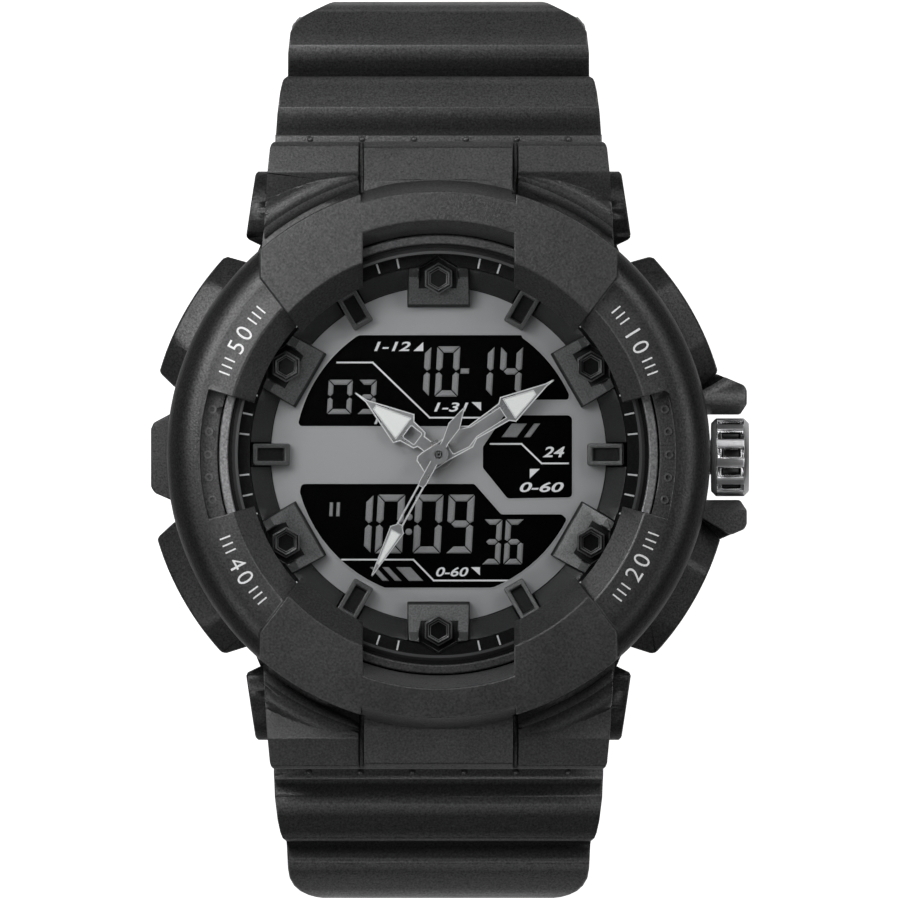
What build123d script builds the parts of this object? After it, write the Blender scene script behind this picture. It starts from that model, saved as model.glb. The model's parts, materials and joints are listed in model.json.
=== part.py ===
from build123d import *
import math
import os

# Wrist watch with hands and a liquid crystal display, shown unbuckled on its
# moulded strap. Millimetres. +Z out of the dial, +Y to 12, +X to 3 (the crown).
# The origin is on the hands' axis, on the outer face of the case back.

os.makedirs("parts", exist_ok=True)

# ---------------------------------------------------------------- dimensions
R_CASE = 22.0          # case wall outside
R_CAVITY = 17.2        # module cavity
R_CAVITY_TOP = 18.0    # cavity above the dial step
Z_BACK = 1.4           # case back thickness
Z_STEP = 9.0           # step that carries the chapter ring
Z_CASE_TOP = 11.6
R_BEZEL = 24.3         # bezel outside
Z_BEZEL_LOW = 9.4
Z_LIP = 13.95          # underside of the bezel's inner lip
Z_BEZEL_TOP = 15.9
Z_COVER_TOP = 16.7     # raised covers at 12 and 6
R_COVER_IN = 16.4
R_COVER_OUT = 24.25
NOTCH_HALF = 6.75      # half width of the gaps in the covers
APRON_Y = 27.96        # outer edge of the bezel's end aprons
R_GLASS = 18.46
Z_GLASS0, Z_GLASS1 = 12.02, 13.6
R_DIAL = 15.0
STUD_AT, R_HEX = 15.74, 2.08   # hexagonal studs in their cups on the hour ring
Z_DIAL0, Z_DIAL1 = 8.7, 9.1
LUG_IN = 15.2          # inner face of the lug ears
HINGE_Y, HINGE_Z = 22.4, 3.8   # strap spring bars
R_BARREL = 2.8
PUSH_Z = 6.3
PUSH_ANGLES = {"a": 30, "b": 150, "c": 210, "d": 330}
PUSH_SHAPE = {"a": (0.08, -1), "b": (0.05, 1), "c": (0.28, -1), "d": (0.33, 1)}
PUSH_TRAVEL = 1.0
R_PUSH = 26.03         # outer faces of the pushers
CROWN_Y, CROWN_Z, R_CROWN = -0.25, 6.2, 3.5
HOUR_ANGLE, MINUTE_ANGLE, SECOND_ANGLE = 306.5, 57.1, 208.8  # clockwise from 12
BAND_HALF = 1.5        # half the strap's thickness
BUCKLE_Y, BUCKLE_Z = 6.0, -29.5
TAIL_Z = -48.5         # middle of the strap's long half where it lies flat

C = (Align.CENTER, Align.CENTER, Align.MIN)


# ---------------------------------------------------------------- helpers
def disc(r, z0, z1, x=0.0, y=0.0):
    return Pos(x, y, z0) * Cylinder(r, z1 - z0, align=C)


def ring(r0, r1, z0, z1, x=0.0, y=0.0):
    return disc(r1, z0, z1, x, y) - Pos(x, y, z0 - 1) * Cylinder(r0, z1 - z0 + 2, align=C)


def box(x0, x1, y0, y1, z0, z1):
    return Pos((x0 + x1) / 2, (y0 + y1) / 2, (z0 + z1) / 2) * Box(x1 - x0, y1 - y0, z1 - z0)


def slab(pts, z0, z1):
    face = make_face(Polyline(*pts, close=True))
    return extrude(Pos(0, 0, z0) * face, amount=z1 - z0, dir=(0, 0, 1))


def rev(pts):
    face = make_face(Polyline(*[(r, 0, z) for r, z in pts], close=True))
    return revolve(face, axis=Axis.Z)


def prism_x(pts, x0, x1):
    """A profile in (y, z), along X from x0 to x1."""
    face = make_face(Polyline(*[(x0, y, z) for y, z in pts], close=True))
    return extrude(face, amount=x1 - x0, dir=(1, 0, 0))


def prism_y(pts, y0, y1):
    """A profile in (x, z), along Y from y0 to y1."""
    face = make_face(Polyline(*[(x, y0, z) for x, z in pts], close=True))
    return extrude(face, amount=y1 - y0, dir=(0, 1, 0))


def wedge(a0, a1, z0, z1, r=40.0):
    """A sector between two angles clockwise from 12, in degrees."""
    pts = [(0, 0)]
    n = 4
    for i in range(n + 1):
        a = math.radians(a0 + (a1 - a0) * i / n)
        pts.append((r * math.sin(a), r * math.cos(a)))
    return slab(pts, z0, z1)


def clock(shape, angle):
    """Turns a shape built towards 12 to an angle clockwise from 12."""
    return Rot(0, 0, -angle) * shape


def mirror_y(shape):
    return mirror(shape, about=Plane.XZ)


def hexagon(rc, z0, z1, x=0.0, y=0.0):
    pts = [
        (x + rc * math.cos(math.radians(90 + 60 * i)), y + rc * math.sin(math.radians(90 + 60 * i)))
        for i in range(6)
    ]
    return slab(pts, z0, z1)


def gear(teeth, r_tip, r_root, z0, z1, x=0.0, y=0.0, phase=0.0):
    pts = []
    for i in range(teeth):
        for f, r in ((0.0, r_root), (0.18, r_tip), (0.42, r_tip), (0.6, r_root)):
            a = math.radians(phase) + 2 * math.pi * (i + f) / teeth
            pts.append((x + r * math.cos(a), y + r * math.sin(a)))
    return slab(pts, z0, z1)


def rod(p, q, r):
    """A round bar from p to q."""
    d = Vector(*q) - Vector(*p)
    plane = Plane(origin=p, z_dir=d)
    return plane * Cylinder(r, d.length, align=C)


def fuse(parts):
    out = parts[0]
    for p in parts[1:]:
        out = out + p
    return out


def save(name, shape):
    solids = shape.solids() if not isinstance(shape, (list, tuple)) else [
        s for p in shape for s in p.solids()
    ]
    out = solids[0] if len(solids) == 1 else Compound(solids)
    export_step(out, f"parts/{name}.step")


# ---------------------------------------------------------------- bezel
def bezel_apron(d):
    """The end beyond the ring, sloping down over the strap. It is longer by d on the 6 side."""
    out = APRON_Y + d
    apron = prism_x(
        [(15.0, 9.5), (25.0, 9.5), (out - 0.3, 10.15), (out, 10.4), (out, 12.3), (out - 0.35, 12.75),
         (25.25 + d, 13.25), (22.6, 12.05), (15.0, 12.05)],
        -15.9, 15.9,
    )
    # middle panel, a little higher, and a curved ridge on each side panel
    centre = prism_x([(22.5, 12.0), (out, 12.0), (out, 12.6), (out - 0.5, 13.3), (24.5 + d, 14.35),
                      (22.5, 14.35)], -6.7, 6.7)
    hump = make_face([*ThreePointArc((24.75, 0, 12.2), (26.05, 0, 13.12), (27.35, 0, 12.2)).edges(),
                      Line((27.35, 0, 12.2), (24.75, 0, 12.2))])
    ridge = revolve(hump, axis=Axis.Z) & (box(7.0, 15.6, 16, 25.2, 11, 14) + box(-15.6, -7.0, 16, 25.2, 11, 14))
    apron = apron + centre + ridge
    side = [(15.72, 18.2), (15.3, 25.2), (15.08, 27.35 + d), (14.96, 27.75 + d), (14.6, out + 0.1)]
    apron &= slab(side + [(-x, y) for x, y in reversed(side)], 9.0, 15.0)
    apron -= disc(23.0, 9.0, 15.0)
    for s in (-1, 1):
        apron -= prism_x([(22.6, 12.2), (25.4, 12.2), (28.2, 11.2), (28.2, 15.5), (22.6, 15.5)],
                         s * 6.875 - 0.22, s * 6.875 + 0.22)
    return apron


def bezel():
    profile = [
        Line((22.1, 0, Z_BEZEL_LOW), (24.1, 0, Z_BEZEL_LOW)),
        Line((24.1, 0, Z_BEZEL_LOW), (R_BEZEL, 0, 9.7)),
        Line((R_BEZEL, 0, 9.7), (R_BEZEL, 0, 12.9)),
        ThreePointArc((R_BEZEL, 0, 12.9), (23.42, 0, 14.936), (21.32, 0, 15.78)),
        Line((21.32, 0, 15.78), (19.1, 0, Z_BEZEL_TOP)),
        Line((19.1, 0, Z_BEZEL_TOP), (17.1, 0, 14.35)),
        Line((17.1, 0, 14.35), (17.1, 0, Z_LIP)),
        Line((17.1, 0, Z_LIP), (19.75, 0, Z_LIP)),
        Line((19.75, 0, Z_LIP), (19.75, 0, 11.65)),
        Line((19.75, 0, 11.65), (22.1, 0, 11.65)),
        Line((22.1, 0, 11.65), (22.1, 0, Z_BEZEL_LOW)),
    ]
    body = revolve(make_face(Wire(profile)), axis=Axis.Z)

    # raised cover at 12: flat plate with a bevelled inner and outer edge
    plan = [(12.25, 11.0), (15.9, 15.8), (15.9, 25.5), (-15.9, 25.5), (-15.9, 15.8), (-12.25, 11.0)]
    cover = slab(plan, 13.95, Z_COVER_TOP) & ring(R_COVER_IN, R_COVER_OUT + 0.2, 13.0, 17.5)
    cover -= rev([(16.3, 14.44), (18.46, 16.75), (16.3, 16.75)])
    cover -= ring(R_COVER_OUT, 30, 13, 18) - box(-6.65, 6.65, 10, 30, 12, 19)
    cover -= rev([(23.46, 16.75), (24.55, 14.4), (24.55, 16.75)]) & box(-6.9, 6.9, 10, 30, 12, 19)
    body = body + cover + bezel_apron(0) + mirror_y(cover + bezel_apron(0.16))

    # gaps in the covers at 12 and 6, with a sloping end wall
    gap = rev([(0, Z_LIP - 0.001), (19.75, Z_LIP - 0.001), (20.9, Z_COVER_TOP), (20.9, 17.4), (0, 17.4)]) & box(
        -NOTCH_HALF, NOTCH_HALF, 8, 22, 13, 18
    )
    body = body - gap - mirror_y(gap)
    # recesses at 3 and 9, with a row of small dimples in the floor
    for a in (90, 270):
        cut = rev([(10, Z_LIP - 0.001), (21.27, Z_LIP - 0.001), (21.3, 15.8), (21.3, 17.5), (10, 17.5)])
        cut &= wedge(a - 15.7, a + 15.7, 13, 18)
        body -= cut
        for d in (-11.3, -5.7, 0, 5.7, 11.3):
            body += clock(disc(0.38, 13.9, 14.04, 0, 20.6), a + d)
            body -= clock(disc(0.21, 13.9, 14.5, 0, 20.6), a + d)
    return body


# ---------------------------------------------------------------- case
def push_pocket(angle):
    pts = [(19.0, -6.85), (27.6, -6.85), (27.6, 6.85), (19.0, 6.85)]
    return Rot(0, 0, angle) * (slab(pts, 3.5, 9.35) - disc(R_CASE - 0.02, 3, 10))


def radial(angle, r, u0, u1, z):
    d = (math.cos(math.radians(angle)), math.sin(math.radians(angle)))
    return rod((u0 * d[0], u0 * d[1], z), (u1 * d[0], u1 * d[1], z), r)


def lug_ear(d):
    """One ear beside the strap's end, rounded over the spring bar. It is longer by d on the 6 side."""
    ear = slab([(12.0, 12.0), (18.6, 12.0), (18.3, 15.4), (16.45, 17.5 + d), (15.95, 18.75 + d), (17.1, 19.3 + d),
                (17.22, 19.6 + d), (16.4, 25.1 + d), (16.15, 25.35 + d), (LUG_IN, 25.35 + d), (LUG_IN, 19.3),
                (12.0, 19.3)], 1.42, 8.6)
    round_top = Pos(17, 21.9 + d / 2, 4.4) * Rot(0, 90, 0) * Cylinder(4.2, 6)
    return ear - (box(LUG_IN + 0.02, 20.0, 18.5 + d, 26.0, 4.4, 9.0) - round_top)


def case_middle():
    body = ring(R_CAVITY, R_CASE, Z_BACK, Z_CASE_TOP)
    body += ring(17.15, 21.4, Z_BACK, 2.0)
    # guards on both sides of the crown, and the bumper at 9
    g = [(21.0, 7.45), (25.0, 7.45), (27.35, 6.45), (27.6, 6.0), (27.6, 4.75), (27.0, 3.82), (21.0, 3.82)]
    guard = slab([(x, y + CROWN_Y) for x, y in g], 2.4, 8.9)
    # sloping faces towards the crown and along the outer edge
    guard -= prism_x([(3.2, 7.3), (3.57, 7.3), (4.5, 8.95), (3.2, 8.95)], 20, 29)
    edge = slab([(24.9, 7.35), (27.3, 6.35), (28.2, 5.8), (28.2, 8.2), (24.9, 8.2)], 8.05, 9.0)
    guard -= edge - slab([(23.0, 7.2), (24.6, 7.1), (27.1, 6.0), (27.35, 5.5), (27.35, 3.0), (23.0, 3.0)], 8, 9.1)
    guard2 = Pos(0, 2 * CROWN_Y, 0) * mirror_y(guard)
    bumper = slab(
        [(-21.0, 3.9), (-23.9, 3.7), (-25.5, 2.85), (-25.74, 2.3), (-25.74, -2.9), (-25.4, -3.45), (-23.9, -4.1),
         (-21.0, -4.3)],
        2.4, 8.9,
    )
    ears = [lug_ear(0), mirror_y(lug_ear(0.22))]
    ears += [mirror(e, about=Plane.YZ) for e in ears]
    body = fuse([body, guard, guard2, bumper] + ears)
    body -= disc(R_CAVITY, 0, Z_STEP)
    body -= disc(R_CAVITY_TOP, Z_STEP, 13)
    # flats that clear the strap ends
    for s in (1, -1):
        y0, y1 = sorted((s * 19.3, s * 30))
        body -= box(-LUG_IN, LUG_IN, y0, y1, 0, 9.2)
    # pushers: shaft bores, spring counterbores and room for the caps
    for a in PUSH_ANGLES.values():
        body -= push_pocket(a)
        body -= radial(a, 0.65, 15, 25, PUSH_Z)
        body -= radial(a, 1.0, 19.55, 20.15, PUSH_Z)
        body -= radial(a, 1.2, 20.6, 25, PUSH_Z)
    # crown tube bore
    body -= rod((15, CROWN_Y, CROWN_Z), (25, CROWN_Y, CROWN_Z), 1.3)
    # spring bar holes in the ears
    for s in (1, -1):
        body -= rod((-16.05, s * HINGE_Y, HINGE_Z), (16.05, s * HINGE_Y, HINGE_Z), 0.5)
    # screw holes and seal groove in the back
    for a in (45, 135, 225, 315):
        body -= clock(disc(0.55, 1.0, 5.5, 0, 19.6), a)
    body -= ring(17.6, 18.3, 1.0, 1.75)
    return body


def case_back():
    plate = disc(20.9, 0, Z_BACK)
    plate = plate.chamfer(0.3, None, plate.edges().filter_by(GeomType.CIRCLE).sort_by(Axis.Z)[:1])
    plate -= ring(13.2, 13.6, -0.5, 0.12)
    plate -= ring(10.2, 10.35, -0.5, 0.08)
    # flats that clear the strap ends
    for s in (1, -1):
        y0, y1 = sorted((s * 19.3, s * 30))
        plate -= box(-30, 30, y0, y1, -1, 3)
    for a in (45, 135, 225, 315):
        plate -= clock(disc(0.6, -1, 3, 0, 19.6), a)
        plate -= clock(disc(1.15, -1, 0.6, 0, 19.6), a)
    return plate


def case_back_screws():
    out = []
    for a in (45, 135, 225, 315):
        s = disc(1.1, 0.05, 0.6, 0, 19.6) + disc(0.53, 0.6, 5.3, 0, 19.6)
        s -= box(-0.85, 0.85, 19.6 - 0.14, 19.6 + 0.14, -0.5, 0.3)
        s -= box(-0.14, 0.14, 19.6 - 0.85, 19.6 + 0.85, -0.5, 0.3)
        out.append(clock(s, a))
    return out


# ---------------------------------------------------------------- display side
def hour_ring():
    body = rev([(15.08, 8.72), (16.84, 8.72), (16.84, 10.9), (15.08, 9.5)])
    block = prism_x([(13.15, 9.14), (17.0, 9.14), (17.0, 11.75), (15.87, 11.0), (13.36, 10.06), (13.15, 9.8)],
                    -2.8, 2.8)
    for s in (1, -1):
        block -= slab([(s * 2.58, 12.9), (s * 3.2, 12.9), (s * 3.2, 17.1), (s * 2.58, 17.1)], 8, 13) & prism_y(
            [(s * 2.58, 13.0), (s * 3.2, 13.0), (s * 3.2, 9.0), (s * 2.8, 9.6)], 12, 18)
    for i in range(6):
        body += clock(block, 60 * i)
    body &= disc(16.84, 8, 12)
    for i in range(6):
        body += clock(hexagon(R_HEX, 9.4, 11.42, 0, STUD_AT), 60 * i) & ring(15.9, 18, 9, 12)
    for i in range(6):
        body -= clock(hexagon(R_HEX - 0.13, 10.62, 12, 0, STUD_AT), 60 * i)
        body -= clock(box(-1.06, 1.06, 13, 17, 9.12, 12), 30 + 60 * i)
    return body


def chapter_ring():
    body = ring(16.88, 17.95, 9.02, 11.3)
    for i in range(6):
        body -= clock(hexagon(R_HEX + 0.03, 9.3, 12, 0, STUD_AT), 60 * i)
    return body


def hex_studs():
    s = hexagon(1.42, 10.63, 11.4, 0, STUD_AT)
    s = s.chamfer(0.12, None, s.faces().sort_by(Axis.Z)[-1].edges())
    s -= hexagon(1.02, 11.1, 12, 0, STUD_AT)
    s -= hexagon(0.8, 10.82, 12, 0, STUD_AT)
    return [clock(s, 60 * i) for i in range(6)]


def frame_markers():
    f = prism_x([(13.3, 9.14), (16.58, 9.14), (16.58, 11.05), (13.3, 10.25)], -0.98, 0.98)
    f = fillet(f.edges().filter_by(Axis.Z), 0.2)
    f -= prism_x([(13.66, 10.6), (13.9, 9.9), (16.1, 10.42), (16.27, 11.2), (16.27, 12), (13.66, 12)], -0.58, 0.58)
    return [clock(f, 30 + 60 * i) for i in range(6)]


def px(x, y):
    return ((x - 438.5) / 11.2, (454.5 - y) / 11.2)


def arc_pts(r, p, q, n=10):
    a0, a1 = math.atan2(p[1], p[0]), math.atan2(q[1], q[0])
    while a1 - a0 > math.pi:
        a1 -= 2 * math.pi
    while a0 - a1 > math.pi:
        a1 += 2 * math.pi
    return [(r * math.cos(a0 + (a1 - a0) * i / n), r * math.sin(a0 + (a1 - a0) * i / n)) for i in range(n + 1)]


R_WINDOW = 12.86
WINDOW_TOP = (
    [(-7.04, 10.68), (7.43, 10.68)]
    + arc_pts(R_WINDOW, (7.5, 10.45), (11.69, 5.35))
    + [(11.6, 4.9), (5.7, 4.9), (3.0, 2.52), (-12.35, 2.54)]
    + arc_pts(R_WINDOW, (-12.55, 2.8), (-7.3, 10.59))
)
WINDOW_LOW = (
    [(-12.28, -2.63), (3.21, -2.63), (5.61, -5.36), (11.0, -5.36)]
    + arc_pts(R_WINDOW, (11.5, -5.76), (5.0, -11.85))
    + [(4.6, -11.92), (-4.8, -11.92)]
    + arc_pts(R_WINDOW, (-5.2, -11.76), (-12.4, -3.4))
)
WINDOW_RIGHT = [(5.94, 3.51), (11.65, 3.51), (11.95, 3.26), (11.95, -3.84), (6.18, -3.94), (3.97, -1.2),
                (3.97, 0.67), (5.76, 3.35)]


def soft(pts, r):
    """The outline with its sharp corners rounded."""
    out = []
    n = len(pts)
    for i, (x, y) in enumerate(pts):
        (ax, ay), (bx, by) = pts[i - 1], pts[(i + 1) % n]
        la, lb = math.hypot(ax - x, ay - y), math.hypot(bx - x, by - y)
        ux, uy, vx, vy = (ax - x) / la, (ay - y) / la, (bx - x) / lb, (by - y) / lb
        half = math.acos(max(-1.0, min(1.0, ux * vx + uy * vy))) / 2
        if half > math.radians(80):
            out.append((x, y))
            continue
        t = min(r / math.tan(half), 0.45 * la, 0.45 * lb)
        for k in range(5):
            f = k / 4
            g, j = (1 - f) ** 2, f * f
            out.append((x + t * (g * ux + j * vx), y + t * (g * uy + j * vy)))
    return out


def dial():
    body = disc(R_DIAL, Z_DIAL0, Z_DIAL1) - disc(1.35, 8, 10)
    for w in (WINDOW_TOP, WINDOW_LOW, WINDOW_RIGHT):
        body -= slab(soft(w, 0.4), 8, 10)
    return body


# ---------------------------------------------------------------- hands
def outline(pairs, z0, z1):
    """A hand blade from (along, half width) pairs."""
    right = [(w, y) for y, w in pairs]
    left = [(-w, y) for y, w in reversed(pairs)]
    return slab(right + left, z0, z1)


Z_HOUR, Z_MINUTE, Z_SECOND = (9.75, 10.0), (10.35, 10.6), (10.95, 11.12)


def hour_hand():
    z0, z1 = Z_HOUR
    h = outline([(0.5, 0.58), (1.92, 0.58), (2.1, 0.91), (3.48, 1.09), (3.87, 1.625), (8.04, 0.13), (9.27, 0.06)], z0, z1)
    h += disc(1.35, z0, z1)
    h -= outline([(2.32, 0.5), (2.4, 0.58), (3.4, 0.6), (3.48, 0.52)], z0 - 1, z1 + 1)
    h -= outline([(3.97, 1.07), (7.05, 0.18)], z0 - 1, z1 + 1)
    h -= disc(1.0, z0 - 1, z1 + 1)
    return clock(h, HOUR_ANGLE)


def hour_lume():
    z0, z1 = Z_HOUR
    return clock(outline([(3.97, 1.07), (7.05, 0.18)], z0 + 0.02, z1 - 0.03), HOUR_ANGLE)


def minute_hand():
    z0, z1 = Z_MINUTE
    h = outline([(-1.96, 0.6), (-1.7, 0.9), (-1.2, 0.98), (0.54, 0.955), (2.95, 1.14), (3.66, 0.71), (6.96, 0.92),
                 (7.41, 1.32), (11.5, 0.14), (12.28, 0.07)], z0, z1)
    h -= outline([(1.16, 0.6), (1.24, 0.67), (2.68, 0.85), (3.75, 0.45), (6.83, 0.49)], z0 - 1, z1 + 1)
    h -= outline([(7.59, 0.94), (10.18, 0.18)], z0 - 1, z1 + 1)
    h -= disc(0.68, z0 - 1, z1 + 1)
    return clock(h, MINUTE_ANGLE)


def minute_lume():
    z0, z1 = Z_MINUTE
    return clock(outline([(7.59, 0.94), (10.18, 0.18)], z0 + 0.02, z1 - 0.03), MINUTE_ANGLE)


def second_hand():
    z0, z1 = Z_SECOND
    h = outline([(-4.71, 0.08), (-2.9, 0.57), (-1.34, 0.32), (0, 0.357), (2.99, 0.357), (3.05, 0.31), (7.27, 0.31),
                 (7.68, 0.70), (12.4, 0.07)], z0, z1)
    h += disc(0.89, z0, z1)
    h -= outline([(3.3, 0.14), (7.1, 0.14)], z0 - 1, z1 + 1)
    h -= outline([(7.95, 0.40), (11.16, 0.06)], z0 - 1, z1 + 1)
    h -= disc(0.38, z0 - 1, z1 + 1)
    return clock(h, SECOND_ANGLE)


def second_lume():
    z0, z1 = Z_SECOND
    return clock(outline([(7.95, 0.40), (11.16, 0.06)], z0 + 0.02, z1 - 0.02), SECOND_ANGLE)


# ---------------------------------------------------------------- movement
# Pitch radii: the wheels stop 0.05 short of them, so that no teeth overlap.
THIRD_X, THIRD_Y = -1.19, -2.366
ROTOR_X, ROTOR_Y = 0.0, -4.45
WORK_X, WORK_Y = 1.6, 2.771      # 3.2 from the centre


def rotor():
    return (disc(1.2, 5.52, 6.1, ROTOR_X, ROTOR_Y) + gear(8, 0.36, 0.26, 6.1, 6.5, ROTOR_X, ROTOR_Y)
            + disc(0.15, 5.0, 6.95, ROTOR_X, ROTOR_Y))


def third_wheel():
    return (gear(40, 1.95, 1.78, 6.15, 6.4, THIRD_X, THIRD_Y) + gear(8, 0.4, 0.3, 5.6, 6.15, THIRD_X, THIRD_Y)
            + disc(0.15, 5.0, 6.95, THIRD_X, THIRD_Y))


def seconds_arbor():
    return gear(48, 2.15, 2.0, 5.65, 5.85) + disc(0.38, 5.5, 11.16) + disc(0.2, 5.0, 5.5)


def centre_wheel():
    body = gear(60, 2.35, 2.2, 6.6, 6.8) + disc(0.68, 6.6, 10.62) + gear(10, 0.76, 0.6, 7.15, 7.3)
    return body - disc(0.42, 6, 12)


def minute_work_wheel():
    return (gear(30, 2.35, 2.2, 7.15, 7.3, WORK_X, WORK_Y) + gear(8, 0.6, 0.48, 7.3, 7.62, WORK_X, WORK_Y)
            + disc(0.2, 6.92, 7.62, WORK_X, WORK_Y))


def hour_wheel():
    body = gear(32, 2.51, 2.35, 7.4, 7.58) + disc(1.0, 7.4, 10.02)
    return body - disc(0.72, 6, 12)


def mainplate():
    body = disc(12.2, 4.95, 5.45)
    body -= disc(0.24, 4, 6)
    for x, y in ((THIRD_X, THIRD_Y), (ROTOR_X, ROTOR_Y)):
        body -= disc(0.19, 4, 6, x, y)
    for x, y in ((6, 5.5), (-6, 5.5), (6, -8.8), (-6, -8.8)):
        body += disc(0.9, 5.4, 6.85, x, y)
    return body


def train_bridge():
    body = slab([(-7, -9.7), (7, -9.7), (7, -2.4), (4.6, 0), (7, 4.5), (7, 6.5), (-7, 6.5), (-7, 4.5), (-4.6, 0),
                 (-7, -2.4)], 6.87, 7.07)
    body -= box(-5.3, 5.3, -9.3, -6.2, 6, 8)
    body -= disc(0.75, 6, 8)
    body -= disc(0.24, 6, 8, WORK_X, WORK_Y)
    for x, y in ((THIRD_X, THIRD_Y), (ROTOR_X, ROTOR_Y)):
        body -= disc(0.19, 6, 8, x, y)
    return body


def coil():
    c = rod((-4.6, -7.75, 6.55), (4.6, -7.75, 6.55), 0.4)
    c += rod((-3.9, -7.75, 6.55), (3.9, -7.75, 6.55), 1.02)
    for x in (-4.4, 3.9):
        c += box(x, x + 0.5, -8.8, -6.7, 5.5, 7.55)
    return c


def stator():
    body = box(-6.4, 6.4, -6.5, -2.6, 5.47, 5.92)
    body -= disc(1.45, 5, 7, ROTOR_X, ROTOR_Y)
    body -= disc(0.6, 5, 7, THIRD_X, THIRD_Y)
    return body


def circuit_board():
    body = disc(14.2, 4.3, 4.9)
    body -= box(-14.3, -13.2, -3, 3, 4, 5)
    for x, y, w, d in ((7.0, 6.5, 4.0, 4.0),):
        body += box(x - w / 2, x + w / 2, y - d / 2, y + d / 2, 3.4, 4.3)
    body += box(-11.6, -9.6, 5.0, 8.0, 3.6, 4.3)
    return body


def module_holder():
    body = ring(14.3, 17.1, 1.5, 8.68)
    for a in PUSH_ANGLES.values():
        body -= radial(a, 1.2, 13, 18, PUSH_Z)
    body -= rod((13, CROWN_Y, CROWN_Z), (18, CROWN_Y, CROWN_Z), 1.35)
    return body


# ---------------------------------------------------------------- crown and stem
def crown():
    body = rod((24.4, CROWN_Y, CROWN_Z), (27.8, CROWN_Y, CROWN_Z), R_CROWN)
    edges = body.edges().filter_by(GeomType.CIRCLE)
    body = body.chamfer(0.45, None, edges)
    # twelve pockets between the ribs, with sloping ends
    pocket = prism_y([(25.45, 3.0), (26.9, 3.0), (27.25, 3.7), (25.05, 3.7)], -0.36, 0.36)
    pocket += prism_y([(24.95, 3.28), (27.35, 3.28), (27.35, 3.9), (24.95, 3.9)], -0.52, 0.52)
    for i in range(12):
        body -= Pos(0, CROWN_Y, CROWN_Z) * (Rot(30 * i - 6.7, 0, 0) * pocket)
    body += rod((23.5, CROWN_Y, CROWN_Z), (24.5, CROWN_Y, CROWN_Z), 1.55)
    body -= rod((23.0, CROWN_Y, CROWN_Z), (26.0, CROWN_Y, CROWN_Z), 0.55)
    return body


def stem():
    body = rod((8.6, CROWN_Y, CROWN_Z), (25.95, CROWN_Y, CROWN_Z), 0.55)
    body -= rod((10.4, CROWN_Y, CROWN_Z), (10.8, CROWN_Y, CROWN_Z), 0.8) - rod(
        (10.3, CROWN_Y, CROWN_Z), (10.9, CROWN_Y, CROWN_Z), 0.3
    )
    body -= rod((20.2, CROWN_Y, CROWN_Z), (20.7, CROWN_Y, CROWN_Z), 0.8) - rod(
        (20.1, CROWN_Y, CROWN_Z), (20.8, CROWN_Y, CROWN_Z), 0.4
    )
    return body


def stem_seal():
    return rod((20.22, CROWN_Y, CROWN_Z), (20.68, CROWN_Y, CROWN_Z), 0.87) - rod(
        (20, CROWN_Y, CROWN_Z), (21, CROWN_Y, CROWN_Z), 0.4
    )


def crown_tube():
    return rod((17.3, CROWN_Y, CROWN_Z), (23.2, CROWN_Y, CROWN_Z), 1.3) - rod(
        (17, CROWN_Y, CROWN_Z), (24, CROWN_Y, CROWN_Z), 0.9
    )


def setting_lever():
    body = box(10.45, 10.75, CROWN_Y - 1.6, CROWN_Y + 4.0, 5.5, 7.3)
    body += box(8.8, 10.75, CROWN_Y + 2.6, CROWN_Y + 4.0, 5.5, 5.8)
    body -= box(10, 11, CROWN_Y - 0.36, CROWN_Y + 0.36, CROWN_Z - 0.36, 8)
    return body


# ---------------------------------------------------------------- pushers
def pusher(angle, out, long):
    """One pusher. Its outer face stands out by out, and its end towards 3 or 9 is a little longer."""
    def side(s):
        e = 0.27 if s == long else 0.0
        return [(21.0, s * (6.35 + e)), (23.62, s * (6.3 + e)), (25.15 + out, s * (5.9 + e)), (25.4 + out, s * (5.6 + e)),
                (26.6, s * (5.2 + e))]

    cap = slab(side(-1) + side(1)[::-1], 3.9, 8.9) & disc(R_PUSH + out, 3, 10)
    cap -= disc(23.2, 3, 10)
    # top and lower edge slope outwards, both ends fall away
    cap -= rev([(23.3, 9.0), (26.6, 7.98), (26.6, 9.0)]) & box(20, 28, -8, 8, 7, 10)
    cap -= rev([(24.9, 3.8), (26.6, 5.5), (26.6, 3.8)]) & box(20, 28, -8, 8, 3, 6)
    for s in (1, -1):
        end = make_face(Polyline(*[(20, s * y, z) for y, z in ((3.15, 10.02), (7.2, 10.6), (7.2, 7.7))], close=True))
        cap -= extrude(end, amount=9, dir=(2.9, 0, -0.9))
    cap += rod((15.4, 0, PUSH_Z), (23.6, 0, PUSH_Z), 0.6)
    cap -= rod((16.88, 0, PUSH_Z), (17.12, 0, PUSH_Z), 0.8) - rod((16.8, 0, PUSH_Z), (17.2, 0, PUSH_Z), 0.42)
    return Rot(0, 0, angle) * cap


def pusher_clip(angle):
    c = rod((16.9, 0, PUSH_Z), (17.1, 0, PUSH_Z), 1.05) - rod((16, 0, PUSH_Z), (18, 0, PUSH_Z), 0.42)
    c -= box(16, 18, -0.3, 0.3, PUSH_Z, PUSH_Z + 2)
    return Rot(0, 0, angle) * c


def pusher_springs():
    """Each coil spring at its pressed length, in its counterbore."""
    path = Helix(pitch=0.42, height=1.26, radius=0.92)
    start = path @ 0
    wire = Plane(origin=start, z_dir=path % 0) * Circle(0.1)
    coil_spring = sweep(wire, path=path)
    out = []
    for a in PUSH_ANGLES.values():
        s = Rot(0, 0, a) * (Pos(20.74, 0, PUSH_Z) * (Rot(0, 90, 0) * coil_spring))
        out.append(s)
    return out


def pusher_seals():
    s = rod((19.6, 0, PUSH_Z), (20.1, 0, PUSH_Z), 0.99) - rod((19, 0, PUSH_Z), (21, 0, PUSH_Z), 0.63)
    return [Rot(0, 0, a) * s for a in PUSH_ANGLES.values()]


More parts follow.
